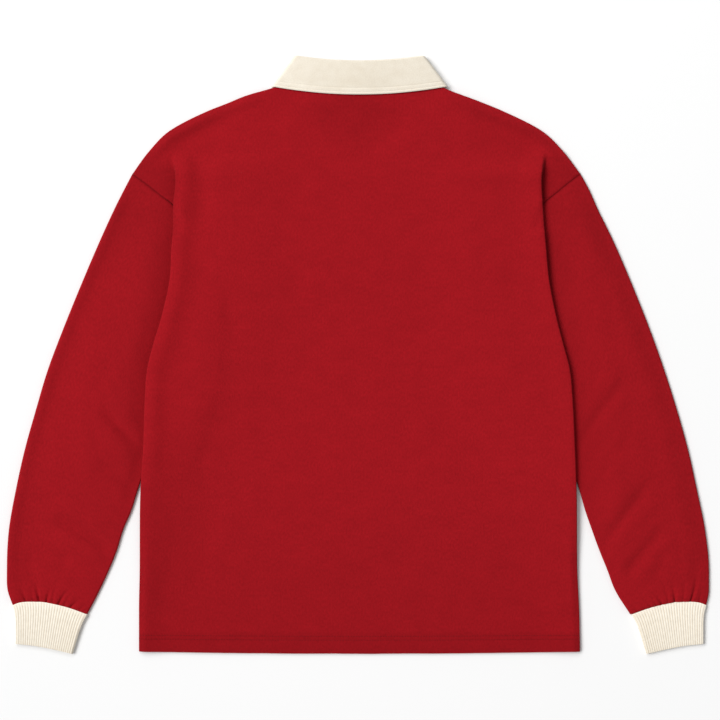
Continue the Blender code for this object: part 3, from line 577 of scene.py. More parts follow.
def swell_beside(out, height, side):
    """How the sleeve rises away from the body's fold: at once on the left, later on the right.

    On the left it is one less an exponential of the distance, and on the right an eased step.
    Both fade to nothing at the sleeve's two edges and towards the cuff.
    """
    beside = out - column(BODY_FOLD, height, side)
    outline = np.where(height > SHOULDER_END, column(SHOULDER, height, side),
                       column(SLEEVE_OUTER, height, side))
    rise, start, breadth, foot, foot_run, edge_run = SWELLS[side]
    away = np.clip(beside - start, 0, None) / breadth
    swell = rise * (1 - np.exp(-away)) if side == LEFT else rise * ease(away)
    foot = ease((height - foot) / foot_run)
    settle = np.clip((outline - out) / edge_run, 0, 1)
    within = settle * (2 - settle) if side == LEFT else ease(settle)
    within = within * ease((out - column(SLEEVE_INNER, height, side)) / 22)
    return swell * within * foot * ease((PLEAT_TOP - 4 - height) / 34)


# %% The rows of both panels


def side_rise(heights, side):
    """Rise of the turned side edge, one value for each row."""
    edge = column(BODY_FOLD, heights, side) - WALL / 2 - TURN
    return OVER_SLEEVE * sleeve_cover(edge, heights, side)


def row_height(heights, x, drop, reach):
    """Height of each point: rows dip below the neck and rise to the hem's corners."""
    height = heights[:, None]
    side = np.where(x < 0, x.min(axis=1)[:, None], x.max(axis=1)[:, None])
    share = np.clip(x / (side - np.sign(side) * 4), 0, 1)
    near_neck = np.clip((height - NECK_TOP + reach) / reach, 0, 1)
    power = 1 if drop == BACK_NECK_DROP else FRONT_NECK_POWER
    dip = drop * near_neck ** 2 * np.clip(1 - share ** 2, 0, 1) ** power
    return height - dip + HEM_RISE * np.clip(1 - height / 60, 0, 1) * share ** 2


# %% Creases of the back: rise, breadth, chain of (out, height)
BACK_CREASES = (
    (1.0, 8, ((-96, 731), (-141, 717), (-169, 706), (-190, 698), (-241, 672), (-266, 648))),
    (1.3, 6.5, ((-176, 704), (-206, 692), (-244, 671), (-268, 646), (-276, 630))),
    (-0.7, 8, ((-150, 699), (-184, 684), (-224, 664), (-246, 640), (-258, 622))),
    (0.8, 8, ((88, 731), (132, 717), (160, 705), (181, 696), (230, 670), (254, 648))),
    (1.5, 6.5, ((166, 703), (198, 688), (234, 668), (256, 644), (266, 630))),
    (-0.7, 8, ((140, 699), (172, 682), (212, 662), (236, 638), (246, 622))),
    (-1.0, 9, ((-232, 668), (-212, 640), (-204, 604), (-203, 570), (-206, 530))),
    (0.15, 16, ((-186, 640), (-176, 590), (-180, 530))),
    (-0.9, 8, ((232, 672), (214, 652), (206, 630), (204, 606))),
    (-1.6, 6, ((-176, 506), (-174, 470), (-171, 425), (-172, 370), (-186, 306), (-200, 262),
                 (-222, 202), (-240, 137), (-258, 66))),
    (-1.0, 16, ((-166, 500), (-162, 425), (-163, 360), (-178, 290), (-194, 235))),
    (-1.5, 24, ((-204, 270), (-212, 200), (-222, 120), (-236, 40))),
    (0.5, 12, ((-206, 470), (-202, 400), (-206, 330), (-222, 262))),
    (-1.6, 24, ((-66, 722), (-34, 684), (0, 658), (34, 684), (64, 720))),
    (0.5, 24, ((-120, 690), (-60, 640), (-20, 590))),
    (0.5, 28, ((130, 680), (70, 640), (20, 600))),
    (-0.5, 22, ((60, 430), (110, 360), (140, 300))),
    (0.5, 26, ((180, 470), (196, 380), (214, 290))),
    (-0.5, 24, ((-70, 170), (0, 210), (50, 260))),
    (0.5, 28, ((-120, 90), (-40, 130), (30, 190))),
    (-0.5, 24, ((-40, 70), (20, 110), (90, 130))),
    (0.5, 24, ((90, 90), (150, 150), (200, 230))),
    (-0.5, 18, ((160, 60), (216, 120), (246, 200))))

# %% [markdown]
# ## The back
#
# The back runs from the neck to the hem in one piece. At each armhole it turns under itself in
# a long flat fold that lies on the sleeve, which is the line that the eye reads as the body's
# side. The section across that fold is found by letting the cloth's slope turn half way round
# along an arc, hold along a reversed run, and turn back again. Walking along the slope gives
# the points. The turned hem is a slightly thicker band with two sewn grooves above it.

# %% The fold over the armhole
FOLD_FIRST, FOLD_RUN, FOLD_SECOND = 14, 4, 8   # segments of its two turns and the run between
ROLL = np.radians(np.linspace(90, 0, 7))       # angles of a turned edge's points


def armhole_fold(heights, side):
    """Sums of cosine and sine of the cloth's slope: distances out and drops of each point."""
    begun = np.clip((PLEAT_TOP - heights) / (PLEAT_TOP - PLEAT_FULL), 0, 1)
    alpha = np.pi * ease(begun)[:, None]
    to_seam = column(BODY_FOLD, heights, side) - WALL / 2 - TURN - column(ARMHOLE, heights, side)
    reversed_run = PLEAT_RUN * ease((begun - PLEAT_TURNED) / (1 - PLEAT_TURNED))
    run = np.clip(np.where(heights < CAP_END, to_seam, reversed_run), 1.0, None)
    part = np.concatenate([(np.arange(FOLD_FIRST) + 0.5) / FOLD_FIRST, np.ones(FOLD_RUN),
                           1 - (np.arange(FOLD_SECOND) + 0.5) / FOLD_SECOND])
    segments = np.concatenate([np.full(FOLD_FIRST, FOLD_FIRST), np.full(FOLD_RUN, np.inf),
                               np.full(FOLD_SECOND, FOLD_SECOND)])
    chord = np.pi * TURN / segments * np.sinc(alpha / segments / (2 * np.pi))
    chord[:, FOLD_FIRST:FOLD_FIRST + FOLD_RUN] = run[:, None] / FOLD_RUN
    zero = np.zeros((len(heights), 1))
    out = np.concatenate([zero, np.cumsum(chord * np.cos(alpha * part), axis=1)], axis=1)
    down = np.concatenate([zero, np.cumsum(chord * np.sin(alpha * part), axis=1)], axis=1)
    return out, down


# %% A turned edge


def turned_edge(start, edge, slant, rolled, flats):
    """Flat points from start, then a quarter-turn down to the edge where a row is rolled."""
    roll_out = (edge - slant * (WALL / 2 + TURN))[:, None] + slant[:, None] * TURN * np.cos(ROLL)
    share = np.linspace(0, 1, flats + 1)[1:-1]
    flat_out = start[:, None] + (roll_out[:, :1] - start[:, None]) * share
    curved = np.concatenate([flat_out, roll_out], axis=1)
    count = curved.shape[1]
    plain = start[:, None] + (edge - start)[:, None] * (np.arange(1, count + 1) / count)
    drop = np.concatenate([np.zeros(flats - 1), TURN * (1 - np.sin(ROLL))])
    return np.where(rolled[:, None] > 0, curved, plain), rolled[:, None] * drop


def edge_slant(table, heights, side):
    """Root of one plus the outline's lean squared: breadth along X for a breadth across."""
    lean = (column(table, heights + 2, side) - column(table, heights - 2, side)) / 4
    return np.sqrt(1 + lean ** 2)


# %% The grid of the back
BACK_ROWS = steps_between((NECK_TOP, SHOULDER_END, CAP_END, ARMPIT, 30, 0),
                          (3.2, 2.8, 3.2, 3.7, 1.1))
MAIN_COLUMNS = 61
CAP_FLATS = 16


def half_back(side):
    """Distances out and drops on one side, from the fold outwards, and the whole drop."""
    heights = BACK_ROWS
    out, down = armhole_fold(heights, side)
    out = out + (column(BODY_FOLD, heights, side) - WALL / 2 - out[:, FOLD_FIRST // 2])[:, None]
    shoulder = heights >= SHOULDER_END
    edge = np.where(shoulder, column(SHOULDER, heights, side), column(ARMHOLE, heights, side))
    edge = np.where(heights < CAP_END, out[:, -1] + WALL, edge)
    slant = np.where(shoulder, edge_slant(SHOULDER, heights, side), 1)
    cap_out, cap_down = turned_edge(out[:, -1], edge, slant, shoulder.astype(float), CAP_FLATS)
    return (np.concatenate([out, cap_out], axis=1),
            np.concatenate([down, down[:, -1:] + cap_down], axis=1), down[:, -1])


# %% Relief of the back
LEFT_CROWN, RIGHT_CROWN = 2.6, 3.4
HEM_ROWS = (17.6, 22.6)


def back_relief(x, height):
    """Creases, the crown along each fold and the faint unevenness.

    The left crown is a rounded roll. The right one rises slowly to the fold and ends sharply.
    """
    inside = by_side(BODY_FOLD, x, height) - np.abs(x)
    crown = ease((662 - height) / 40) * (0.30 + 0.70 * ease((height - 120) / 200))
    sharper = crown * (1 + 0.35 * ease((height - 430) / 90))
    rolled = (LEFT_CROWN * np.exp(-((inside - 12) / 11.5) ** 2)
              - 0.4 * np.exp(-((inside - 38) / 12) ** 2))
    raised = RIGHT_CROWN * np.exp(-(np.clip(inside - 3, 0, None) / 30) ** 1.3)
    total = np.where(x < 0, crown * rolled, sharper * raised)
    total += creases(x, height, BACK_CREASES)
    total += 0.3 * hand_of_cloth(x, height)
    return total * ease((NECK_TOP - height) / 45)


def hem_band(height):
    """The turned hem stands 0.4 mm proud and rolls down, with a groove along each sewn row."""
    band = 0.4 * ease((27 - height) / 4) - 1.5 * np.clip(1 - height / 9, 0, 1) ** 2
    grooves = sum(0.20 * np.exp(-((height - row) / 1.0) ** 2) for row in HEM_ROWS)
    return band - grooves


# %% [markdown]
# ## Painted shade on the back
#
# The back is given painted shade where the jersey would lie in shadow: where it turns away from
# the light, in its creases, beside the folds and in the sewn seams. On cloth that lies this flat,
# the light alone shows it too weakly. So each point carries a painted shade, from 0 for the plain
# dye to 1 for the deepest, and the finish multiplies the dye by it.

# %% Shade of the back
# Weights of the painted shade: its soft bands, and the dark groove of a sewn seam.
SOFT_SHADE, SEAM_SHADE = 0.24, 0.75
# Bands of painted shade along the shoulders and the long trough: strength, breadth, chain
BACK_SHADES = (
    (0.8, 6, ((-100, 727), (-141, 713), (-189, 695), (-239, 671), (-265, 647), (-288, 618))),
    (0.95, 7, ((98, 726), (128, 712), (177, 694), (230, 672), (256, 648), (280, 618))),
    (0.4, 6, ((-176, 506), (-174, 470), (-171, 425), (-172, 370), (-186, 306), (-200, 262))))


def fold_shade(out, height):
    """Painted shadow beside the right fold's upper half: 1 at the fold."""
    beside = np.clip(out - column(BODY_FOLD, height, RIGHT), -1, None)
    upper = ease((height - 430) / 80) * ease((PLEAT_TOP - height) / 30)
    return upper * np.exp(-(beside / 5.5) ** 2) * (beside > -1)


def back_shade(x, height):
    """Painted shade: nape, hem, lower body, lower left, caps, right fold, and most in the seams."""
    nape = 0.85 * ease(1.3 - np.abs(x + 4) / 72 - np.abs(height - 704) / 58)
    band = 0.55 * ease((29 - height) / 3)
    low = 0.60 * ease((260 - height) / 240)
    line = 196 + (262 - height) * 0.31
    corner = 0.30 * ease((24 - x - line) / 36) * ease((340 - height) / 120)
    fold = by_side(BODY_FOLD, x, height)
    cap = 1.15 * ease((np.abs(x) - fold + 4) / 3) * ease((height - CAP_END + 10) / 10)
    cap = cap * ease((PLEAT_TOP - height) / 30)
    edge = by_side(ARMHOLE, x, height)
    beside_seam = (height > CAP_END - 3) & (height < SHOULDER_END - 1) & (np.abs(x) > fold)
    seam = SEAM_SHADE * np.exp(-((edge - np.abs(x)) / 1.3) ** 2) * beside_seam
    soft = nape + band + low + corner + cap + creases(x, height, BACK_SHADES)
    soft = soft + 1.7 * fold_shade(x, height)
    return np.clip(SOFT_SHADE * soft + seam, 0, 1)


# %% [markdown]
# ## Putting the back together
#
# The caps, outside the fold, swell with the sleeves' heads and dip into the seam that joins
# them. A trough is never deeper than the room above the layer beneath it, so the back doesn't
# cut into the sleeves, the front or the collar's leaves.

# %% The whole back
DEEPEST_TROUGH, ROOM_BELOW = 0.9, 1.2


def cap_dip(x, heights):
    """The cap's last 2 mm dip into the armhole's seam, below the shoulder's end."""
    edge = by_side(ARMHOLE, x, heights[:, None])
    seam = ((heights < SHOULDER_END) & (heights > CAP_END))[:, None]
    return np.where(seam, 1.4 * np.exp(-np.clip(edge - np.abs(x), 0, None) / 1.3), 0)


def cap_swell(x, y, heights):
    """The same swell as the sleeve's on the cap, which lies outside the fold and above its seam."""
    left = swell_beside(-x, y, LEFT)
    right = swell_beside(x, y, RIGHT)
    return np.where(x < 0, left, right) * (heights[:, None] > CAP_END - 4)


def back_grid():
    """Middle of the back as rows of points, the mask of its cells and its cloth places."""
    heights = BACK_ROWS
    left_out, left_down, left_drop = half_back(LEFT)
    right_out, right_down, right_drop = half_back(RIGHT)
    share = np.linspace(0, 1, 2 * MAIN_COLUMNS)[None, 1:-1]
    middle = -left_out[:, :1] + (right_out[:, :1] + left_out[:, :1]) * share
    x = np.concatenate([-left_out[:, ::-1], middle, right_out], axis=1)
    down = np.concatenate([left_down[:, ::-1], np.zeros_like(middle), right_down], axis=1)
    y = row_height(heights, x, BACK_NECK_DROP, BACK_NECK_REACH)
    low = heights < ARMPIT
    height = heights[:, None]
    rises = [np.where(low, OVER_SLEEVE, drop)[:, None] * sleeve_cover(x, height, side, BRIDGE_FADE)
             for side, drop in ((LEFT, left_drop), (RIGHT, right_drop))]
    rise = np.where(x < 0, rises[0], rises[1])
    zone = left_out.shape[1]
    rise[:, :zone] = np.where(low, side_rise(heights, LEFT), left_drop)[:, None]
    rise[:, -zone:] = np.where(low, side_rise(heights, RIGHT), right_drop)[:, None]
    held = np.clip(down / (TURN * (1 + ease((height - ARMPIT) / 60))), 0, 1)
    soft = (back_relief(x, y) + hem_band(y)) * (1 - held)
    z = BACK_MID + bridged_lift(x, y) + rise - down + soft
    deepest = np.maximum(-DEEPEST_TROUGH, collar_lift(x, y) - ROOM_BELOW)
    z = np.maximum(z, BACK_MID - down + rise + deepest)
    z = z - cap_dip(x, heights) + cap_swell(x, y, heights)
    cell = (heights[:-1] + heights[1:]) / 2
    keep = np.ones((len(cell), x.shape[1] - 1), dtype=bool)
    cap = zone - 1 - (FOLD_FIRST + FOLD_RUN + FOLD_SECOND)
    under_fold = zone - 1 - FOLD_FIRST // 2
    for rows, cells in ((cell < CAP_END, cap), (cell < ARMPIT, under_fold)):
        keep[rows, :cells] = False
        keep[rows, keep.shape[1] - cells:] = False
    return np.stack([x, y, z], axis=2), keep


# %% Make the back
back_points, back_keep = back_grid()
print(f"the back's highest point is {back_points[:, :, 2].max():.1f} mm above the table")
back_mesh = cloth_sheet("back_cloth", back_points, CLOTH, back_keep,
                        shade=back_shade(back_points[:, :, 0], back_points[:, :, 1]))
back_cloth = make_piece("back_cloth", back_mesh, JERSEY, ["back"])

# %% [markdown]
# ## The front
#
# The front lies under everything, on the surface, and only its outline and its slot for the
# placket show from below. It takes the same rows at the sides as the back, so the two edges
# meet all the way down. Its own creases only rise, because the surface is flat beneath it.

# %% The grid of the front
FRONT_ROWS = steps_between((NECK_TOP, SHOULDER_END, PLACKET_FOOT, ARMPIT, SHELF_ROW, 30, 0),
                           (4.0, 4.5, 5.0, 4.0, 5.6, 1.5))
FRONT_COLUMNS = 40
SIDE_BAND = 10                                # breadth of the flat strip beside a turned edge
FRONT_CREASES = (
    (0.7, 14, ((-60, 470), (-120, 420), (-180, 330))),
    (0.7, 16, ((70, 450), (130, 380), (200, 300))),
    (0.6, 18, ((-30, 330), (-70, 230), (-130, 120))),
    (0.7, 15, ((40, 260), (90, 180), (170, 90))),
    (0.6, 14, ((-190, 250), (-210, 160), (-226, 60))),
    (0.5, 16, ((-100, 80), (-20, 60), (60, 76))))


def half_front(side):
    """Distances out and roll of the front's points on one side, from the slot outwards."""
    heights = FRONT_ROWS
    shoulder = heights >= SHOULDER_END
    shelf = heights <= SHELF_ROW
    edge = np.where(shoulder, column(SHOULDER, heights, side), column(ARMHOLE, heights, side))
    edge = np.where(heights >= ARMPIT, edge, column(SLEEVE_INNER, heights, side) - 2)
    edge = np.where(shelf, column(BODY_FOLD, heights, side), edge)
    slant = np.where(shoulder, edge_slant(SHOULDER, heights, side), 1)
    start = edge - (WALL / 2 + TURN + SIDE_BAND) * slant
    edge_out, edge_down = turned_edge(start, edge, slant, (shoulder | shelf).astype(float), 4)
    share = np.linspace(0, 1, FRONT_COLUMNS)
    inner = SLOT_HALF + (start[:, None] - SLOT_HALF) * share
    return (np.concatenate([inner, edge_out], axis=1),
            np.concatenate([np.zeros_like(inner), edge_down], axis=1))


# %% The whole front


def front_grid():
    """Middle of the front as rows of points, and the mask with its slot."""
    heights = FRONT_ROWS
    left_out, left_up = half_front(LEFT)
    right_out, right_up = half_front(RIGHT)
    x = np.concatenate([-left_out[:, ::-1], right_out], axis=1)
    up = np.concatenate([left_up[:, ::-1], right_up], axis=1)
    y = row_height(heights, x, FRONT_NECK_DROP, FRONT_NECK_REACH)
    below = ease((ARMPIT - heights[:, None]) / 16)
    level = np.minimum(heights[:, None], ARMPIT - 1)
    rise = OVER_SLEEVE * below * np.where(
        x < 0, sleeve_cover(x, level, LEFT), sleeve_cover(x, level, RIGHT))
    side = heights <= SHELF_ROW
    rise[side, :len(ROLL)] = side_rise(heights, LEFT)[side, None]
    rise[side, -len(ROLL):] = side_rise(heights, RIGHT)[side, None]
    free = 1 - np.clip((collar_lift(x, y) + rise) / 2, 0, 1)
    soft = np.clip(creases(x, y, FRONT_CREASES), 0, 0.8) * free
    z = FRONT_MID + collar_lift(x, y) + rise + up + soft * ease(heights[:, None] / 50)
    cell = (heights[:-1] + heights[1:]) / 2
    keep = np.ones((len(cell), x.shape[1] - 1), dtype=bool)
    keep[cell > PLACKET_FOOT, keep.shape[1] // 2] = False
    return np.stack([x, y, z], axis=2), keep


# %% Make the front
front_points, front_keep = front_grid()
print(f"the front's grid has {len(front_points)} rows of {front_points.shape[1]} points")
front_mesh = cloth_sheet("front_cloth", front_points, CLOTH, front_keep)
front_cloth = make_piece("front_cloth", front_mesh, JERSEY, ["front"])

# %% [markdown]
# ## The sleeves
#
# A sleeve is a tube pressed flat. In plan it is stretched between four edges: the armhole, the
# cuff's seam, and the outer and inner folds. A patch blends the two pairs of edges and takes
# away the blend of the corners. The upper layer is a little puffed, with slanting creases at
# the elbow and short gathers where its fullness is drawn into the cuff.

# %% Creases of the sleeves: rise, breadth, chain of (out, height) with out to the right
SLEEVE_CREASES = (
    (-3.4, 6.5, ((-262, 250), (-276, 262), (-290, 277), (-308, 292), (-340, 322))),
    (1.6, 8, ((-278, 246), (-300, 264), (-334, 296))),
    (1.2, 10, ((-262, 276), (-292, 304), (-326, 338))),
    (-1.6, 7, ((-286, 206), (-310, 226), (-342, 254))),
    (-4.0, 6, ((-318, 132), (-340, 146), (-362, 160), (-400, 180))),
    (1.2, 9, ((-326, 120), (-362, 142), (-402, 160))),
    (0.9, 12, ((-322, 158), (-360, 180), (-404, 202))),
    (0.6, 20, ((-320, 480), (-352, 400), (-376, 330))),
    (-0.7, 12, ((-300, 420), (-330, 360), (-344, 330))),
    (-0.7, 9, ((-392, 94), (-384, 118), (-370, 140))),
    (-0.8, 8, ((-424, 88), (-428, 112), (-424, 138))),
    (-1.8, 7, ((268, 258), (284, 282), (308, 313), (332, 344), (352, 374))),
    (0.7, 10, ((288, 262), (318, 302), (352, 344))),
    (0.5, 12, ((262, 296), (288, 328), (322, 366))),
    (-0.9, 8, ((294, 204), (322, 244), (350, 286))),
    (-1.5, 7, ((312, 140), (336, 170), (360, 202), (382, 232))),
    (0.8, 9, ((330, 138), (360, 172), (392, 208))),
    (0.8, 10, ((306, 168), (332, 202), (360, 234))),
    (-1.7, 7, ((338, 94), (362, 128), (400, 170))),
    (0.8, 9, ((356, 92), (382, 126), (412, 158))),
    (-0.7, 7, ((378, 92), (392, 116), (396, 138))),
    (-0.7, 7, ((428, 86), (436, 112), (434, 136))),
    (0.6, 20, ((316, 480), (346, 420), (376, 350))))
# Bands of painted shade in the sharpest creases: strength, breadth, chain
SLEEVE_SHADES = (
    (0.8, 7, ((258, 246), (284, 282), (308, 313), (332, 344), (356, 378))),
    (0.6, 7, ((300, 134), (336, 176), (360, 208), (388, 242))),
    (0.5, 8, ((334, 90), (362, 128), (404, 174))),
    (0.4, 6, ((-318, 130), (-340, 145), (-362, 158), (-404, 180))))
# Gathers: share across the seam, depth, lean towards the inner edge, reach up the sleeve
GATHERS_LEFT = (
    (0.188, 2.6, -0.02, 11), (0.28, 0.8, 0.00, 20), (0.36, 3.4, -0.02, 16), (0.45, 2.6, 0.03, 13),
    (0.53, 0.9, 0.02, 22), (0.605, 3.4, 0.05, 15), (0.68, 0.8, 0.05, 20), (0.76, 3.0, 0.05, 10),
    (0.88, 0.9, 0.04, 12))
GATHERS_RIGHT = (
    (0.10, 0.8, 0.00, 12), (0.213, 3.4, -0.05, 18), (0.31, 0.9, -0.02, 20),
    (0.412, 3.4, 0.00, 13), (0.50, 0.8, 0.00, 22), (0.579, 3.0, 0.03, 11), (0.65, 0.8, 0.03, 18),
    (0.717, 1.5, 0.03, 8), (0.80, 1.5, 0.03, 7), (0.90, 0.8, 0.02, 12))
SLEEVE_LENGTH = 470

# %% Chains along the edges


def polyline(stations, share):
    """Points at the given shares of a chain's length."""
    stations = np.array(stations, dtype=float)
    reach = np.concatenate([[0], np.cumsum(np.linalg.norm(np.diff(stations, axis=0), axis=1))])
    share = np.asarray(share) * reach[-1]
    return np.stack([np.interp(share, reach, stations[:, axis]) for axis in (0, 1)], axis=-1)


def edge_curve(table, side, count=160):
    """An outline as a fine chain of (out, height), from its top down."""
    heights = np.linspace(table[-1][0], table[0][0], count)
    return np.stack([column(table, heights, side), heights], axis=1)


def cuff_seam():
    """Line of the cuff's seam as a smooth chain of (out, height)."""
    rows = np.array(CUFF_JOIN)
    share = np.linspace(0, 1, 60)
    return np.stack([smooth_through(rows[:, 0], rows[:, 2], share),
                     smooth_through(rows[:, 0], rows[:, 1], share)], axis=1)


# %% Section and plan of a sleeve


def tube_ring(flat, width, thick, inset):
    """Flattened ring: two straight layers joined by half-turns of half the thickness."""
    radius = thick / 2 - inset
    turn = np.radians(np.linspace(-90, 90, 9))
    edge_in = (thick / 2 / width)[:, None]
    swing = (radius / width)[:, None]
    outer = edge_in - swing * np.cos(turn)
    inner = 1 - edge_in + swing * np.cos(turn)
    rows = len(width)
    across = np.concatenate([
        outer, np.tile(flat, (rows, 1)), inner[:, ::-1], np.tile(flat[::-1], (rows, 1))], axis=1)
    level = np.concatenate([
        np.sin(turn), np.ones(len(flat)), np.sin(turn)[::-1], -np.ones(len(flat))])
    return across, thick / 2 + radius * level, np.clip(level, 0, 1)


def sleeve_plan(across, along, side):
    """Blend of the outer and inner edges, plus armhole and cuff seam, less the corners."""
    seam, join = edge_curve(ARMHOLE, side), cuff_seam()
    outer = polyline(edge_curve(SLEEVE_OUTER, side), along)[:, None, :]
    inner = polyline(edge_curve(SLEEVE_INNER, side), along)[:, None, :]
    u, v = across[:, :, None], along[:, None, None]
    corners = ((1 - u) * (1 - v) * seam[0] + u * (1 - v) * seam[-1]
               + (1 - u) * v * join[0] + u * v * join[-1])
    clear = np.array([SEWN_GAP, -SEWN_GAP]) * (1 - v)
    return ((1 - u) * outer + u * inner + (1 - v) * polyline(seam, across)
            + v * polyline(join, across) - corners + clear)


# %% Gathers beside the cuff


def gathers(across, along, side):
    """Troughs that start at the cuff's seam and die out up the sleeve, between small swells."""
    up = (1 - along[:, None]) * SLEEVE_LENGTH
    total = np.zeros(across.shape)
    for share, depth, lean, reach in (GATHERS_LEFT if side == LEFT else GATHERS_RIGHT):
        centre = share + lean * up / reach
        spread = 0.011 + 0.012 * up / reach
        total -= depth * np.exp(-(up / reach) ** 1.6) * np.exp(-((across - centre) / spread) ** 2)
    swell = 1.3 * ease(up / 5) * np.exp(-up / 26) * np.sin(np.pi * np.clip(across, 0, 1)) ** 0.4
    return total + swell


# %% Relief of a sleeve


def sleeve_relief(plan, across, along, side):
    """Puff, creases, gathers, and the rim with a trough beside it along the outer fold."""
    out, height = plan[:, :, 0], plan[:, :, 1]
    sign = -1 if side == LEFT else 1
    beside = out - column(BODY_FOLD, height, side)
    shown = ease((beside - 2) / (24 if side == LEFT else 60))
    v = along[:, None]
    width = np.clip(np.sin(np.pi * across), 0, 1)
    if side == LEFT:
        puff, ridge, hollow = 1.4 * np.sqrt(width), 1.3, 0.3
    else:
        puff, ridge, hollow = 3.0 * width ** 0.7, 0.0, 0.0
    puff = puff * ease(v / 0.12)
    swell = swell_beside(out, height, side)
    rim = column(SLEEVE_OUTER, height, side) - out
    edge = ridge * np.exp(-((rim - 3) / 8) ** 2) - hollow * np.exp(-((rim - 22) / 10) ** 2)
    edge = edge * ease(v / 0.08) * ease((1 - v) / 0.12)
    soft = creases(sign * out, height, SLEEVE_CREASES) + 0.3 * hand_of_cloth(out, height)
    total = puff + edge + soft * ease((1 - v) / 0.05) * ease(v / 0.05)
    total = total + gathers(across, along, side)
    return swell + np.clip(total * shown, -0.4 * shown - swell, None)


# %% [markdown]
# ## Painted shade and seams of a sleeve
#
# A sleeve has the same bands of painted shade as the back: beside its outer fold, in its sharpest
# creases and next to the armhole. Its two ends dip into their seams, which is what makes a seam
# read as sewn from above. Last, the tube's outer and inner skins are joined round both ends.

# %% Shade and seams of a sleeve


def sleeve_shade(plan, from_top, side):
    """Painted shade near the armhole, along the outer fold, over the right sleeve, in creases and
    seam.
    """
    out, height = plan[:, :, 0], plan[:, :, 1]
    sign = -1 if side == LEFT else 1
    rim = column(SLEEVE_OUTER, height, side) - out
    if side == LEFT:
        band = 0.65 * np.exp(-((rim - 12) / 6.5) ** 2) + 0.42 * np.exp(-((rim - 24) / 15) ** 2)
    else:
        band = 0.22 + 0.42 * np.exp(-((rim - 16) / 12) ** 2) + 1.7 * fold_shade(out, height)
    soft = band * ease(from_top / 50) + 0.75 * np.exp(-(from_top / 80) ** 2)
    soft = soft + creases(sign * out, height, SLEEVE_SHADES)
    return np.clip(SOFT_SHADE * soft + SEAM_SHADE * np.exp(-(from_top / 1.3) ** 2), 0, 1)


def seam_groove(along):
    """The sleeve's first 2 mm dip into the armhole's seam, and its last 2 mm into the cuff's."""
    from_top = along[:, None] * SLEEVE_LENGTH
    from_cuff = (1 - along[:, None]) * SLEEVE_LENGTH
    return 1.4 * np.exp(-from_top / 1.3) + 0.7 * np.exp(-from_cuff / 1.4)


# %% A tube of two skins


def tube_mesh(name, skins, uv, shade):
    """Closed tube from an outer and an inner skin of the same rings, joined at both ends."""
    rings, count = skins[0].shape[:2]
    total = rings * count
    outer = ring_quads(rings, count)
    inner = ring_quads(rings, count, total)[:, ::-1]
    k = np.arange(count)
    following = (k + 1) % count
    rims = []
    for ring, turned in ((0, True), (rings - 1, False)):
        rim = np.stack([ring * count + k, ring * count + following,
                        total + ring * count + following, total + ring * count + k], axis=1)
        rims.append(rim[:, ::-1] if turned else rim)
    points = np.concatenate([skin.reshape(-1, 3) for skin in skins])
    quads = np.concatenate([outer, inner] + rims)
    mirrored = skins[0][:, :, 0].mean() < CENTRE[0]
    quads = quads[:, ::-1] if mirrored else quads
    return make_mesh(name, points, quads, np.tile(uv.reshape(-1, 2), (2, 1)),
                     np.tile(shade.ravel(), 2))


# %% Skins of a sleeve


def sleeve_skins(side):
    """Outer and inner skins of a sleeve, the cloth places and the shade of their points."""
    along = np.concatenate([np.linspace(0, 0.02, 7), np.linspace(0.03, 0.93, 104),
                            np.linspace(0.934, 0.99, 26), np.linspace(0.992, 1, 6)])
    flat = np.linspace(0.016, 0.984, 96)
    start = polyline(edge_curve(SLEEVE_OUTER, side), along)
    end = polyline(edge_curve(SLEEVE_INNER, side), along)
    width = np.linalg.norm(start - end, axis=1)
    sign = -1 if side == LEFT else 1
    skins = []
    for inset in (0.05, CLOTH + 0.05):
        across, z, on_top = tube_ring(flat, width, TUBE_THICK, inset)
        plan = sleeve_plan(across, along, side)
        lifted = z + on_top * (sleeve_relief(plan, across, along, side) - seam_groove(along))
        skins.append(np.stack([sign * plan[:, :, 0], plan[:, :, 1], lifted], axis=2))
    turned = across * width[:, None]
    from_top = np.broadcast_to(along[:, None] * SLEEVE_LENGTH, turned.shape)
    uv = np.stack([turned, from_top], axis=2)
    return skins, uv, sleeve_shade(plan, from_top, side)


# %% Make the sleeves
for side, word in ((LEFT, "left"), (RIGHT, "right")):
    skins, uv, shade = sleeve_skins(side)
    mesh = tube_mesh(f"sleeve_{word}_cloth", skins, uv, shade)
    make_piece(f"sleeve_{word}_cloth", mesh, JERSEY,
                               [f"sleeve_{word}"])

# %% [markdown]
# ## The ribbed cuffs
#
# A ribbed cuff is knitted in crests and grooves that run along the arm, and they fan a little
# as the tube narrows. Walking round the flattened section at even steps, each point is pushed
# out by the root of a sine: that gives round crests with sharp grooves between them, as rib
# knit has. The same wave is kept as painted shade, so that the grooves are painted darker, as in
# shadow.

# %% Section and plan of a cuff
RIBS_PER_SIDE = 28
POINTS_PER_RIB = 6
RIB_RISE = 0.5
CUFF_THICK, CUFF_DEPTH = 4.6, 62
CUFF_CLOTH = 1.3
CUFF_TAPER = 22                # how much narrower the open end is than the seam
CUFF_WAIST = 3.5               # how far each side is drawn in below the seam


def cuff_section(width, points, radius, rise):
    """Two straight sides joined by half-turns, walked at even steps of the whole length."""
    turn = CUFF_THICK / 2
    straight = (width - CUFF_THICK)[:, None]
    length = 2 * straight + 2 * np.pi * turn
    run = np.arange(points) / points * length
    top = np.clip(run, 0, straight)
    near = np.clip(run - straight, 0, np.pi * turn) / turn
    bottom = np.clip(run - straight - np.pi * turn, 0, straight)
    far = np.clip(run - 2 * straight - np.pi * turn, 0, np.pi * turn) / turn
    angle = np.pi / 2 - near - far
    across = (turn + top - bottom + (radius + rise) * np.cos(angle)) / width[:, None]
    return across, RIB_RISE + turn + (radius + rise) * np.sin(angle), np.sin(angle)


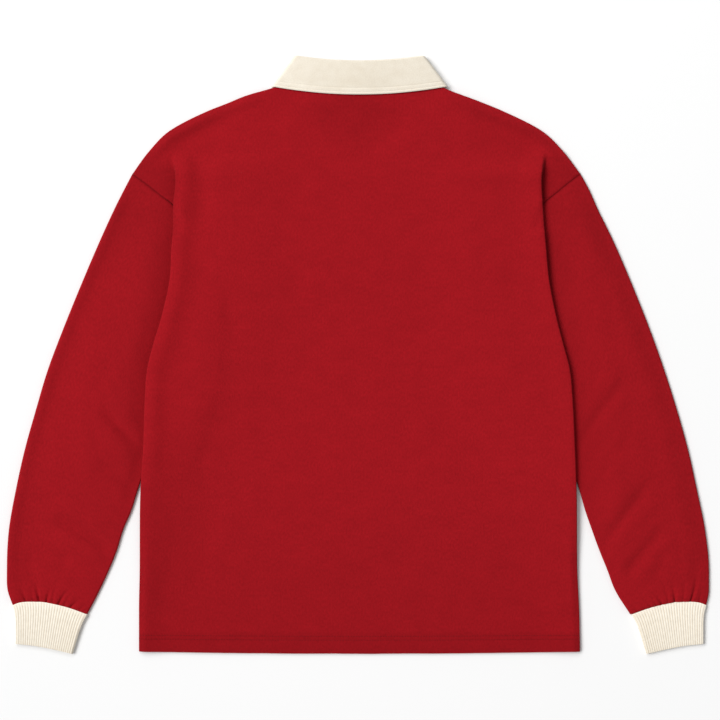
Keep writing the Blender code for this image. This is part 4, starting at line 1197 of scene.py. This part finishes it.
def cuff_plan(across, along):
    """Straight lines from the seam to the open end, with the sides drawn in below the seam."""
    rows = np.array(CUFF_END)
    share = np.linspace(0, 1, 40)
    end_line = np.stack([smooth_through(rows[:, 0], rows[:, 2], share),
                         smooth_through(rows[:, 0], rows[:, 1], share)], axis=1)
    seam = polyline(cuff_seam(), across) - np.array([0, SEWN_GAP])
    waist = CUFF_WAIST * (np.exp(-along / 0.12) - 1) * (1 - along)
    pull = waist[:, None, None] * np.stack([1 - 2 * across, np.zeros_like(across)], axis=2)
    drawn = (along ** 0.8)[:, None, None]
    return seam + (polyline(end_line, across) - seam) * drawn + pull


# %% Skins of a cuff


def cuff_skins(side):
    """Ribbed outer skin, plain inner skin, the cloth places and the painted shade of the ribs."""
    along = np.concatenate([np.linspace(0, 0.06, 5), np.linspace(0.1, 0.97, 17), [0.985, 1.0]])
    count = 2 * RIBS_PER_SIDE * POINTS_PER_RIB
    seam_width = np.hypot(CUFF_JOIN[0][2] - CUFF_JOIN[-1][2], CUFF_JOIN[0][1] - CUFF_JOIN[-1][1])
    width = seam_width - CUFF_TAPER * np.sqrt(along)
    wave = np.sqrt(np.abs(np.sin(np.pi * np.arange(count) / POINTS_PER_RIB)))
    edge = 1 - 0.5 * np.exp(-along[:, None] / 0.015) - 0.35 * np.exp(-(1 - along[:, None]) / 0.012)
    swell = 0.5 * np.sin(np.pi * along[:, None]) ** 0.7
    sign = -1 if side == LEFT else 1
    skins = []
    for radius, rise in ((CUFF_THICK / 2, RIB_RISE * wave * edge),
                         (CUFF_THICK / 2 - CUFF_CLOTH, np.zeros((1, count)))):
        across, z, level = cuff_section(width, count, radius, rise)
        plan = cuff_plan(across, along)
        z = z + np.clip(level, 0, 1) * swell
        skins.append(np.stack([sign * plan[:, :, 0], plan[:, :, 1], z], axis=2))
    down = np.broadcast_to(along[:, None] * CUFF_DEPTH, across.shape)
    uv = np.stack([across * width[:, None], down], axis=2)
    # Painted shade on the cuff: grooves darker than crests, the inner side and the rolled open end
    # darker; the rib is lightest at its seam.
    inner_side = np.clip(1.15 - 0.42 * np.clip(across, 0, 1) ** 1.5, 0, 1)
    shade = wave * inner_side * (1 - 0.5 * np.exp(-(1 - along[:, None]) / 0.03))
    return skins, uv, np.maximum(shade, np.exp(-along[:, None] / 0.02))


# %% Make the cuffs
for side, word in ((LEFT, "left"), (RIGHT, "right")):
    skins, uv, wave = cuff_skins(side)
    mesh = tube_mesh(f"cuff_{word}_rib", skins, uv, wave)
    make_piece(f"cuff_{word}_rib", mesh, RIB, [f"cuff_{word}"])

# %% [markdown]
# ## The collar
#
# The collar is one piece that stands up from the neck, turns over at its fold and falls. Laid
# flat, its back half lies on the shirt's back and its two leaves lie beneath the front. Three
# rails carry it round: the foot, the fold and the edge of the fall. At each side a facing angle
# swings from up to down, which takes the section round the corner without a break. The fall has
# a seam inside its edge, so it is a little thicker there, with a sewn line 8 mm from the edge.

# %% Measures of the collar
COLLAR_WALL, COLLAR_CLOTH = 2.0, 1.8
STAND_OUT = BACK_MID / 2 - FRONT_MID / 2
RING_MID = OVER_COLLAR + (FRONT_MID + BACK_MID) / 2
FALL_OUT_BACK = STAND_OUT + 2.4
FALL_OUT_FRONT = RING_MID - COLLAR_WALL / 2
NECK_CLEAR = 1.6
FOLD_BACK_DIP = 6
FOLD_CORNER, FOLD_FRONT, FOLD_PULL = (85, 775.5), (4, 712), (52, 728)
FALL_BACK, FALL_CORNER, FALL_PULL, FALL_POINT = 725.5, (114.3, 735.2), (92, 690), (60, 648)
CORNER_INSET = 5.2


def bezier(start, pull, end, t):
    """Quadratic curve from start to end that leans towards the pull point."""
    start, pull, end = (np.array(point, dtype=float) for point in (start, pull, end))
    t = t[:, None]
    return (1 - t) ** 2 * start + 2 * t * (1 - t) * pull + t ** 2 * end


def neck_seam(x, panel):
    """Height of the foot: just above the panel's top row, a little more at the corner."""
    top = panel[0]
    right = top[top[:, 0] > 0]
    left = top[top[:, 0] < 0][::-1] * np.array([-1, 1, 1])
    edge = np.maximum(np.interp(x, right[:, 0], right[:, 1]), np.interp(x, left[:, 0], left[:, 1]))
    slope = np.gradient(edge, x)
    return edge + SEAM_GAP * np.sqrt(1 + slope ** 2) + NECK_CLEAR * (x / NECK_HALF) ** 4


# %% The rails together


def collar_rails():
    """Fold, foot and fall of one half from the back's centre to the front, and the angle."""
    back, front = np.linspace(0, 1, 44), np.linspace(0, 1, 38)
    corner = np.radians(np.linspace(90, -90, 17)[1:-1])
    angle = np.concatenate([np.full(len(back), np.pi / 2), corner, np.full(len(front), -np.pi / 2)])

    def rail(on_back, on_front):
        share = np.linspace(0, 1, len(corner) + 2)[1:-1, None]
        between = on_back[-1] + (on_front[0] - on_back[-1]) * share
        return np.concatenate([on_back, between, on_front])

    fold_end = (FOLD_CORNER[0] - CORNER_INSET, FOLD_CORNER[1])
    fall_end = (FALL_CORNER[0] - CORNER_INSET, FALL_CORNER[1])
    fold_back = np.stack([back * fold_end[0],
                          FOLD_CORNER[1] - FOLD_BACK_DIP * (1 - back ** 2)], axis=1)
    foot_x = back * (NECK_HALF - NECK_CLEAR)
    foot_back = np.stack([foot_x, neck_seam(foot_x, back_points)], axis=1)
    foot_x = FOLD_FRONT[0] + (NECK_HALF - NECK_CLEAR - FOLD_FRONT[0]) * np.cos(front * np.pi / 2)
    foot_front = np.stack([foot_x, neck_seam(foot_x, front_points)], axis=1)
    fall_back = np.stack([back * fall_end[0],
                          FALL_BACK + (FALL_CORNER[1] - FALL_BACK) * back ** 2], axis=1)
    return (rail(fold_back, bezier(fold_end, FOLD_PULL, FOLD_FRONT, front)),
            rail(foot_back, foot_front),
            rail(fall_back, bezier(fall_end, FALL_PULL, FALL_POINT, front)), angle)


# %% Grid of the collar
FALL_SEWN = 8.0                                # from the edge to its sewn line
STAND_ROWS, TURN_ROWS = 7, 15
CROWN_ROW = STAND_ROWS + TURN_ROWS - 1         # the row where the fall begins
FALL_PARTS = np.concatenate([np.linspace(0, 0.74, 16), np.linspace(0.76, 1, 22)])


def fall_relief(from_edge):
    """The seam inside the edge, its sewn groove, and a fine one behind the rolled lip."""
    band = 0.35 * ease((9 - from_edge) / 2)
    groove = 0.40 * np.exp(-((from_edge - FALL_SEWN) / 0.9) ** 2)
    lip = 0.30 * np.exp(-((from_edge - 2.9) / 0.8) ** 2)
    roll = 0.40 * np.exp(-((from_edge - 1.3) / 0.8) ** 2)
    rounded = 0.35 * np.exp(-from_edge / 0.5)
    return band - groove - lip + roll - rounded


# %% The collar, column by column


def collar_grid():
    """Middle of the collar: columns round the neck, rows from the foot over to the fall."""
    fold, foot, fall, angle = collar_rails()
    share = (1 - np.sin(angle)) / 2
    fall_out = FALL_OUT_BACK + (FALL_OUT_FRONT - FALL_OUT_BACK) * share
    radius = (fall_out - STAND_OUT) / 2
    rise = (fold - foot) / np.linalg.norm(fold - foot, axis=1, keepdims=True)
    crown = fold - rise * (1.0 + radius)[:, None]
    stand = np.linspace(0, 1, STAND_ROWS + 1)[:-1]
    turn = np.radians(np.linspace(0, 180, TURN_ROWS))
    plan = [foot + (crown - foot) * step for step in stand]
    outs = [np.full(len(angle), STAND_OUT)] * len(stand)
    for step in turn:
        plan.append(crown + rise * (radius * np.sin(step))[:, None])
        outs.append(STAND_OUT + radius * (1 - np.cos(step)))
    depth = np.linalg.norm(fall - crown, axis=1)
    facing = np.sin(angle)
    for step in FALL_PARTS[1:]:
        dome = 0.9 * np.sin(np.pi * step) * np.clip(facing, 0, 1)
        relief = fall_relief((1 - step) * depth)
        relief = np.where(facing > 0, relief, np.minimum(relief - 0.3, 0)) * np.abs(facing)
        soft = 0.5 * np.sin(np.arange(len(angle)) * 0.21 + 2.0 * step) * step
        soft = soft * np.clip(facing, 0, 1)
        plan.append(crown + (fall - crown) * step)
        outs.append(fall_out + dome + relief + soft * 0.5)
    plan, outs = np.array(plan), np.array(outs)
    half = np.stack([plan[:, :, 0] + outs * np.cos(angle), plan[:, :, 1],
                     RING_MID + outs * np.sin(angle)], axis=2)
    return np.concatenate([half[:, :0:-1] * np.array([-1, 1, 1]), half], axis=1)


# %% Make the collar
collar_points = collar_grid()
steps = np.linalg.norm(np.diff(collar_points, axis=1), axis=2).mean(axis=0)
drops = np.linalg.norm(np.diff(collar_points, axis=0), axis=2).mean(axis=1)
collar_uv = np.stack(np.meshgrid(np.concatenate([[0], np.cumsum(steps)]),
                                 np.concatenate([[0], np.cumsum(drops)])), axis=2)
# Painted shade on the collar: darker in the middle of the fall behind the neck, and a little darker
# everywhere but the rolled lip at the fall's edge, which so reads lighter as a painted highlight.
from_fold = np.linspace(-0.6, 1, len(collar_points))[:, None]
nape_shade = np.exp(-(collar_points[:, :, 0] / 62) ** 2 - ((from_fold - 0.30) / 0.36) ** 2)
collar_shade = 0.45 * nape_shade * (collar_points[:, :, 2] > RING_MID)
collar_shade = collar_shade + 0.25 * (from_fold < 0.95)
collar_mesh = cloth_sheet("collar_twill", collar_points, COLLAR_CLOTH, uv=collar_uv,
                          shade=collar_shade)
collar = make_piece("collar_twill", collar_mesh, TWILL, ["collar"])

# %% [markdown]
# ## The placket and its buttons
#
# Under the shirt, two strips of the collar's twill fill the slot in the front, one on the other,
# with a sewn line along each edge. Three resin buttons close it. Each is a disc with a raised
# rim, a dished middle and four holes: the height of every point comes from its distance to the
# centre and to the holes.

# %% The strips
PLACKET_WALL, OVER_HALF = 1.3, 17
UNDER_CLOTH, OVER_CLOTH = 1.2, 1.1


def placket_strip(name, half_width, foot, drop, cloth, node):
    """Strip along the slot, its middle below the front's by the drop, with sewn edges."""
    heights = np.linspace(NECK_TOP - FRONT_NECK_DROP - SEAM_GAP, foot, 90)
    x = np.tile(np.linspace(-half_width, half_width, 29), (len(heights), 1))
    y = np.tile(heights[:, None], (1, x.shape[1]))
    from_edge = np.minimum(half_width - np.abs(x), np.minimum(y - foot, heights[0] - y))
    groove = 0.22 * np.exp(-((from_edge - 2.6) / 0.8) ** 2)
    z = FRONT_MID + collar_lift(x, y) - drop + groove
    mesh = cloth_sheet(name, np.stack([x, y, z], axis=2), cloth)
    return make_piece(name, mesh, TWILL, [node])


OVER_DROP = (WALL + PLACKET_WALL) / 2 + SEAM_GAP
placket_under = placket_strip("placket_under_twill", SLOT_HALF - SEAM_GAP,
                              PLACKET_FOOT + SEAM_GAP, 0, UNDER_CLOTH, "placket_under")
placket_over = placket_strip("placket_over_twill", OVER_HALF, PLACKET_FOOT - 2, OVER_DROP,
                             OVER_CLOTH, "placket_over")

# %% The face of a button
BUTTON_HEIGHTS = (660, 612, 564)
BUTTON_RADIUS, BUTTON_THICK = 5.75, 1.8
BUTTON_SIDE, BUTTON_BEVEL = 1.5, 0.3           # where its straight side ends, and the bevel
HOLE_OUT, HOLE_RADIUS, HOLE_DEPTH = 1.35, 0.62, 0.7
ROUND = 72                                     # points of each ring


def button_face(radius, turn):
    """Depth of the face: an eased rim, a dish inside it and four round holes."""
    x, y = radius * np.cos(turn), radius * np.sin(turn)
    rim = 0.5 * (1 - np.sqrt(np.clip(1 - np.clip((radius - 5.2) / 0.6, 0, 1) ** 2, 0, 1)))
    dish = 0.45 * (1 - ease((radius - 3.0) / 1.1))
    depth = rim + dish
    for dx in (-HOLE_OUT, HOLE_OUT):
        for dy in (-HOLE_OUT, HOLE_OUT):
            away = np.hypot(x - dx, y - dy)
            depth = depth + HOLE_DEPTH * (1 - ease((away - HOLE_RADIUS + 0.2) / 0.3))
    return depth


# %% One button, and all three


def make_button(name, height, node):
    """Disc of rings: face down at the surface, a straight side, and a plain back."""
    radii = np.concatenate([np.linspace(0.02, 4.2, 22), np.linspace(4.5, BUTTON_RADIUS, 9)])
    turn = np.linspace(0, 2 * np.pi, ROUND + 1)[:-1]
    face_z = button_face(radii[:, None], turn[None, :])
    rings_r = np.concatenate([radii, [BUTTON_RADIUS, BUTTON_RADIUS - BUTTON_BEVEL, radii[0]]])
    rings_z = np.concatenate([face_z, np.full((1, ROUND), BUTTON_SIDE),
                              np.full((2, ROUND), BUTTON_THICK)])
    points = np.stack([rings_r[:, None] * np.cos(turn), height + rings_r[:, None] * np.sin(turn),
                       rings_z], axis=2)
    centres = np.array([[0, height, face_z[0].mean()], [0, height, BUTTON_THICK]])
    vertices = np.concatenate([points.reshape(-1, 3), centres])
    total = len(rings_r) * ROUND
    k = np.arange(0, ROUND, 2)
    pair, last = (k + 2) % ROUND, total - ROUND
    face_cap = np.stack([pair, k + 1, k, np.full(len(k), total)], axis=1)
    back_cap = np.stack([last + k, last + k + 1, last + pair, np.full(len(k), total + 1)], axis=1)
    quads = np.concatenate([ring_quads(len(rings_r), ROUND), face_cap, back_cap])
    mesh = make_mesh(name, vertices, quads, sharp=40)
    return make_piece(name, mesh, BUTTON, [node])


buttons = [make_button(f"button_{order}_resin", height, f"button_{order}")
           for order, height in enumerate(BUTTON_HEIGHTS, start=1)]

# %% [markdown]
# ## Stitching
#
# Sewing is a row of short threads, each a small capsule that dips into the cloth at its ends. One
# capsule is worked out once, as a bent tube of five rings, and a copy is placed along a path at
# even steps: its length follows the path and its back follows the cloth's normal.

# %% One row of stitches


def stitch_form():
    """A bent capsule of unit length: rings of six points on a low arch, closed at its ends."""
    along = np.array((-0.5, -0.42, -0.15, 0.15, 0.42, 0.5))
    girth = np.array((0.05, 0.75, 1.0, 1.0, 0.75, 0.05))
    arch = 1 - (2 * along) ** 2
    turn = np.linspace(0, 2 * np.pi, 7)[:-1]
    ring = np.stack(np.broadcast_arrays(
        along[:, None], girth[:, None] * np.cos(turn), girth[:, None] * np.sin(turn)), axis=2)
    return ring, arch


def stitch_row(path, normal, length=2.1, pitch=2.9, radius=0.24, sink=0.08):
    """Points and quads of stitches along a path of points with normals."""
    reach = np.concatenate([[0], np.cumsum(np.linalg.norm(np.diff(path, axis=0), axis=1))])
    at = np.arange(pitch / 2, reach[-1] - pitch / 2, pitch)

    def read(values, where):
        return np.stack([np.interp(where, reach, values[:, axis]) for axis in range(3)], axis=1)

    centre, up = read(path, at), read(normal, at)
    ahead = read(path, at + 0.4) - read(path, at - 0.4)
    ahead /= np.linalg.norm(ahead, axis=1, keepdims=True)
    aside = np.cross(up, ahead)
    aside /= np.linalg.norm(aside, axis=1, keepdims=True)
    ring, arch = stitch_form()
    lift = radius * (ring[:, :, 2] + arch[:, None]) - sink
    points = (centre[:, None, None] + ring[None, :, :, 0:1] * length * ahead[:, None, None]
              + ring[None, :, :, 1:2] * radius * aside[:, None, None]
              + lift[None, :, :, None] * up[:, None, None])
    rings, count = ring.shape[:2]
    first = np.array([[5, 4, 1, 0], [4, 3, 2, 1]])
    ends = np.concatenate([first, (first + (rings - 1) * count)[:, ::-1]])
    one = np.concatenate([ring_quads(rings, count), ends])
    quads = one[None] + (np.arange(len(at)) * rings * count)[:, None, None]
    return points.reshape(-1, 3), quads.reshape(-1, 4)


# %% A piece of many rows, and a path on a piece


def stitch_piece(name, rows, material):
    """All rows of stitches of one seam as one piece."""
    points, quads, before = [], [], 0
    for row_points, row_quads in rows:
        points.append(row_points)
        quads.append(row_quads + before)
        before += len(row_points)
    mesh = make_mesh(name, np.concatenate(points), np.concatenate(quads), sharp=80)
    return make_piece(name, mesh, material)


def on_grid(points, normal, path_rows, path_cols, cloth, side=1):
    """Path on one face of a piece through fractional rows and columns of its grid."""
    def read(values):
        r0 = np.floor(path_rows).astype(int)
        c0 = np.floor(path_cols).astype(int)
        r0, c0 = np.clip(r0, 0, values.shape[0] - 2), np.clip(c0, 0, values.shape[1] - 2)
        fr, fc = (path_rows - r0)[:, None], (path_cols - c0)[:, None]
        return ((1 - fr) * (1 - fc) * values[r0, c0] + fr * (1 - fc) * values[r0 + 1, c0]
                + (1 - fr) * fc * values[r0, c0 + 1] + fr * fc * values[r0 + 1, c0 + 1])
    up = read(normal) * side
    return read(points) + up * cloth / 2, up


# %% Stitches of the hem
FREE_CELLS = 6                                 # at each end of a sewn row


def rows_at(heights, value):
    """Fractional row of a falling list of heights."""
    return np.interp(-value, -heights, np.arange(len(heights)))


back_trim = np.count_nonzero(~back_keep[-1, :60])      # cells cut away beside the fold
hem_rows = []
for points, heights, trim, side, sink in (
        (back_points, BACK_ROWS, back_trim, 1, 0.08), (front_points, FRONT_ROWS, 1, -1, 0.50)):
    normal = unit_normals(points)
    cols = np.linspace(trim + FREE_CELLS, points.shape[1] - 1 - FREE_CELLS - trim, 400)
    for height in HEM_ROWS:
        rows = np.full(len(cols), rows_at(heights, height))
        path, up = on_grid(points, normal, rows, cols, CLOTH, side)
        hem_rows.append(stitch_row(path, up, length=2.3, pitch=3.5, radius=0.30, sink=sink))
hem_stitches = stitch_piece("hem_stitches", hem_rows, RED_THREAD)

# %% Stitches of the collar
fall_depth = np.linalg.norm(collar_points[-1] - collar_points[CROWN_ROW], axis=1)
path_cols = np.linspace(3, collar_points.shape[1] - 4, 900)
depth_there = np.interp(path_cols, np.arange(len(fall_depth)), fall_depth)
sewn_part = 1 - FALL_SEWN / depth_there
path_rows = CROWN_ROW + np.interp(sewn_part, FALL_PARTS, np.arange(len(FALL_PARTS)))
path, up = on_grid(collar_points, unit_normals(collar_points), path_rows, path_cols,
                   COLLAR_CLOTH, -1)
collar_rows = [stitch_row(path, up, length=1.9, pitch=2.6, radius=0.22)]
collar_stitches = stitch_piece("collar_stitches", collar_rows, CREAM_THREAD)

# %% [markdown]

# %% [markdown]
# ## The table, the light and the camera
#
# The shirt lies on a plain pale sheet. A broad, far light from the left, a little above the
# picture's middle, gives each fold a soft shade to its right. A weaker lamp near the collar makes
# the top of the shirt a little brighter than its hem, and an even sky fills the rest. The camera
# looks straight down from far enough away that nothing leans.

# %% Floor
FLOOR_HALF, FLOOR_DROP = 4, 0.0002
FLOOR_GREY = 0.88
floor_mesh = bpy.data.meshes.new("floor")
floor_mesh.from_pydata([(x * FLOOR_HALF, y * FLOOR_HALF, -FLOOR_DROP)
                        for x, y in ((-1, -1), (1, -1), (1, 1), (-1, 1))], [], [(0, 1, 2, 3)])
floor = bpy.data.objects.new("floor", floor_mesh)
bpy.context.scene.collection.objects.link(floor)
floor_finish, floor_shader = new_finish("pale_paper", 0.9, specular=0.1)
floor_shader.inputs["Base Color"].default_value = (FLOOR_GREY,) * 3 + (1,)
floor_mesh.materials.append(floor_finish)

# %% Light
FAR_PLACE, FAR_POWER, FAR_BREADTH = (-3.2, 0.95, 3.7), 2.44, 32
TOP_PLACE, TOP_POWER, TOP_SIZE = (-1.1, 1.7, 2.1), 19.4, 1.2
SKY_STRENGTH = 0.40


def hang_light(name, kind, place, power):
    """A light at a place, facing the shirt's middle."""
    light = bpy.data.lights.new(name, kind)
    light.energy = power
    holder = bpy.data.objects.new(name, light)
    bpy.context.scene.collection.objects.link(holder)
    holder.location = place
    holder.rotation_euler = (-Vector(place)).to_track_quat("-Z", "Y").to_euler()
    return light


far_light = hang_light("far_light", "SUN", FAR_PLACE, FAR_POWER)
far_light.angle = np.radians(FAR_BREADTH)
top_lamp = hang_light("top_lamp", "AREA", TOP_PLACE, TOP_POWER)
top_lamp.shape, top_lamp.size = "DISK", TOP_SIZE
world = bpy.data.worlds.new("even_sky")
bpy.context.scene.world = world
world.use_nodes = True
sky = world.node_tree.nodes["Background"]
sky.inputs["Color"].default_value = (1, 1, 1, 1)
sky.inputs["Strength"].default_value = SKY_STRENGTH

# %% Camera
PICTURE_WIDTH, PICTURE_MIDDLE = 0.9344, (0.00265, -0.00655)
SCALE_HEIGHT = 0.004                           # how far up the picture's scale is true
LENS, SENSOR = 85, 36
camera_data = bpy.data.cameras.new("camera")
camera_data.lens = LENS
camera_data.sensor_width = SENSOR
camera_data.clip_end = 20
camera = bpy.data.objects.new("camera", camera_data)
camera.location = (*PICTURE_MIDDLE, PICTURE_WIDTH * LENS / SENSOR + SCALE_HEIGHT)
print(f"the camera stands {camera.location.z:.3f} m above the table")
bpy.context.scene.collection.objects.link(camera)
bpy.context.scene.camera = camera
bpy.context.scene.view_settings.view_transform = "Standard"

# %% The end
bpy.context.view_layer.update()
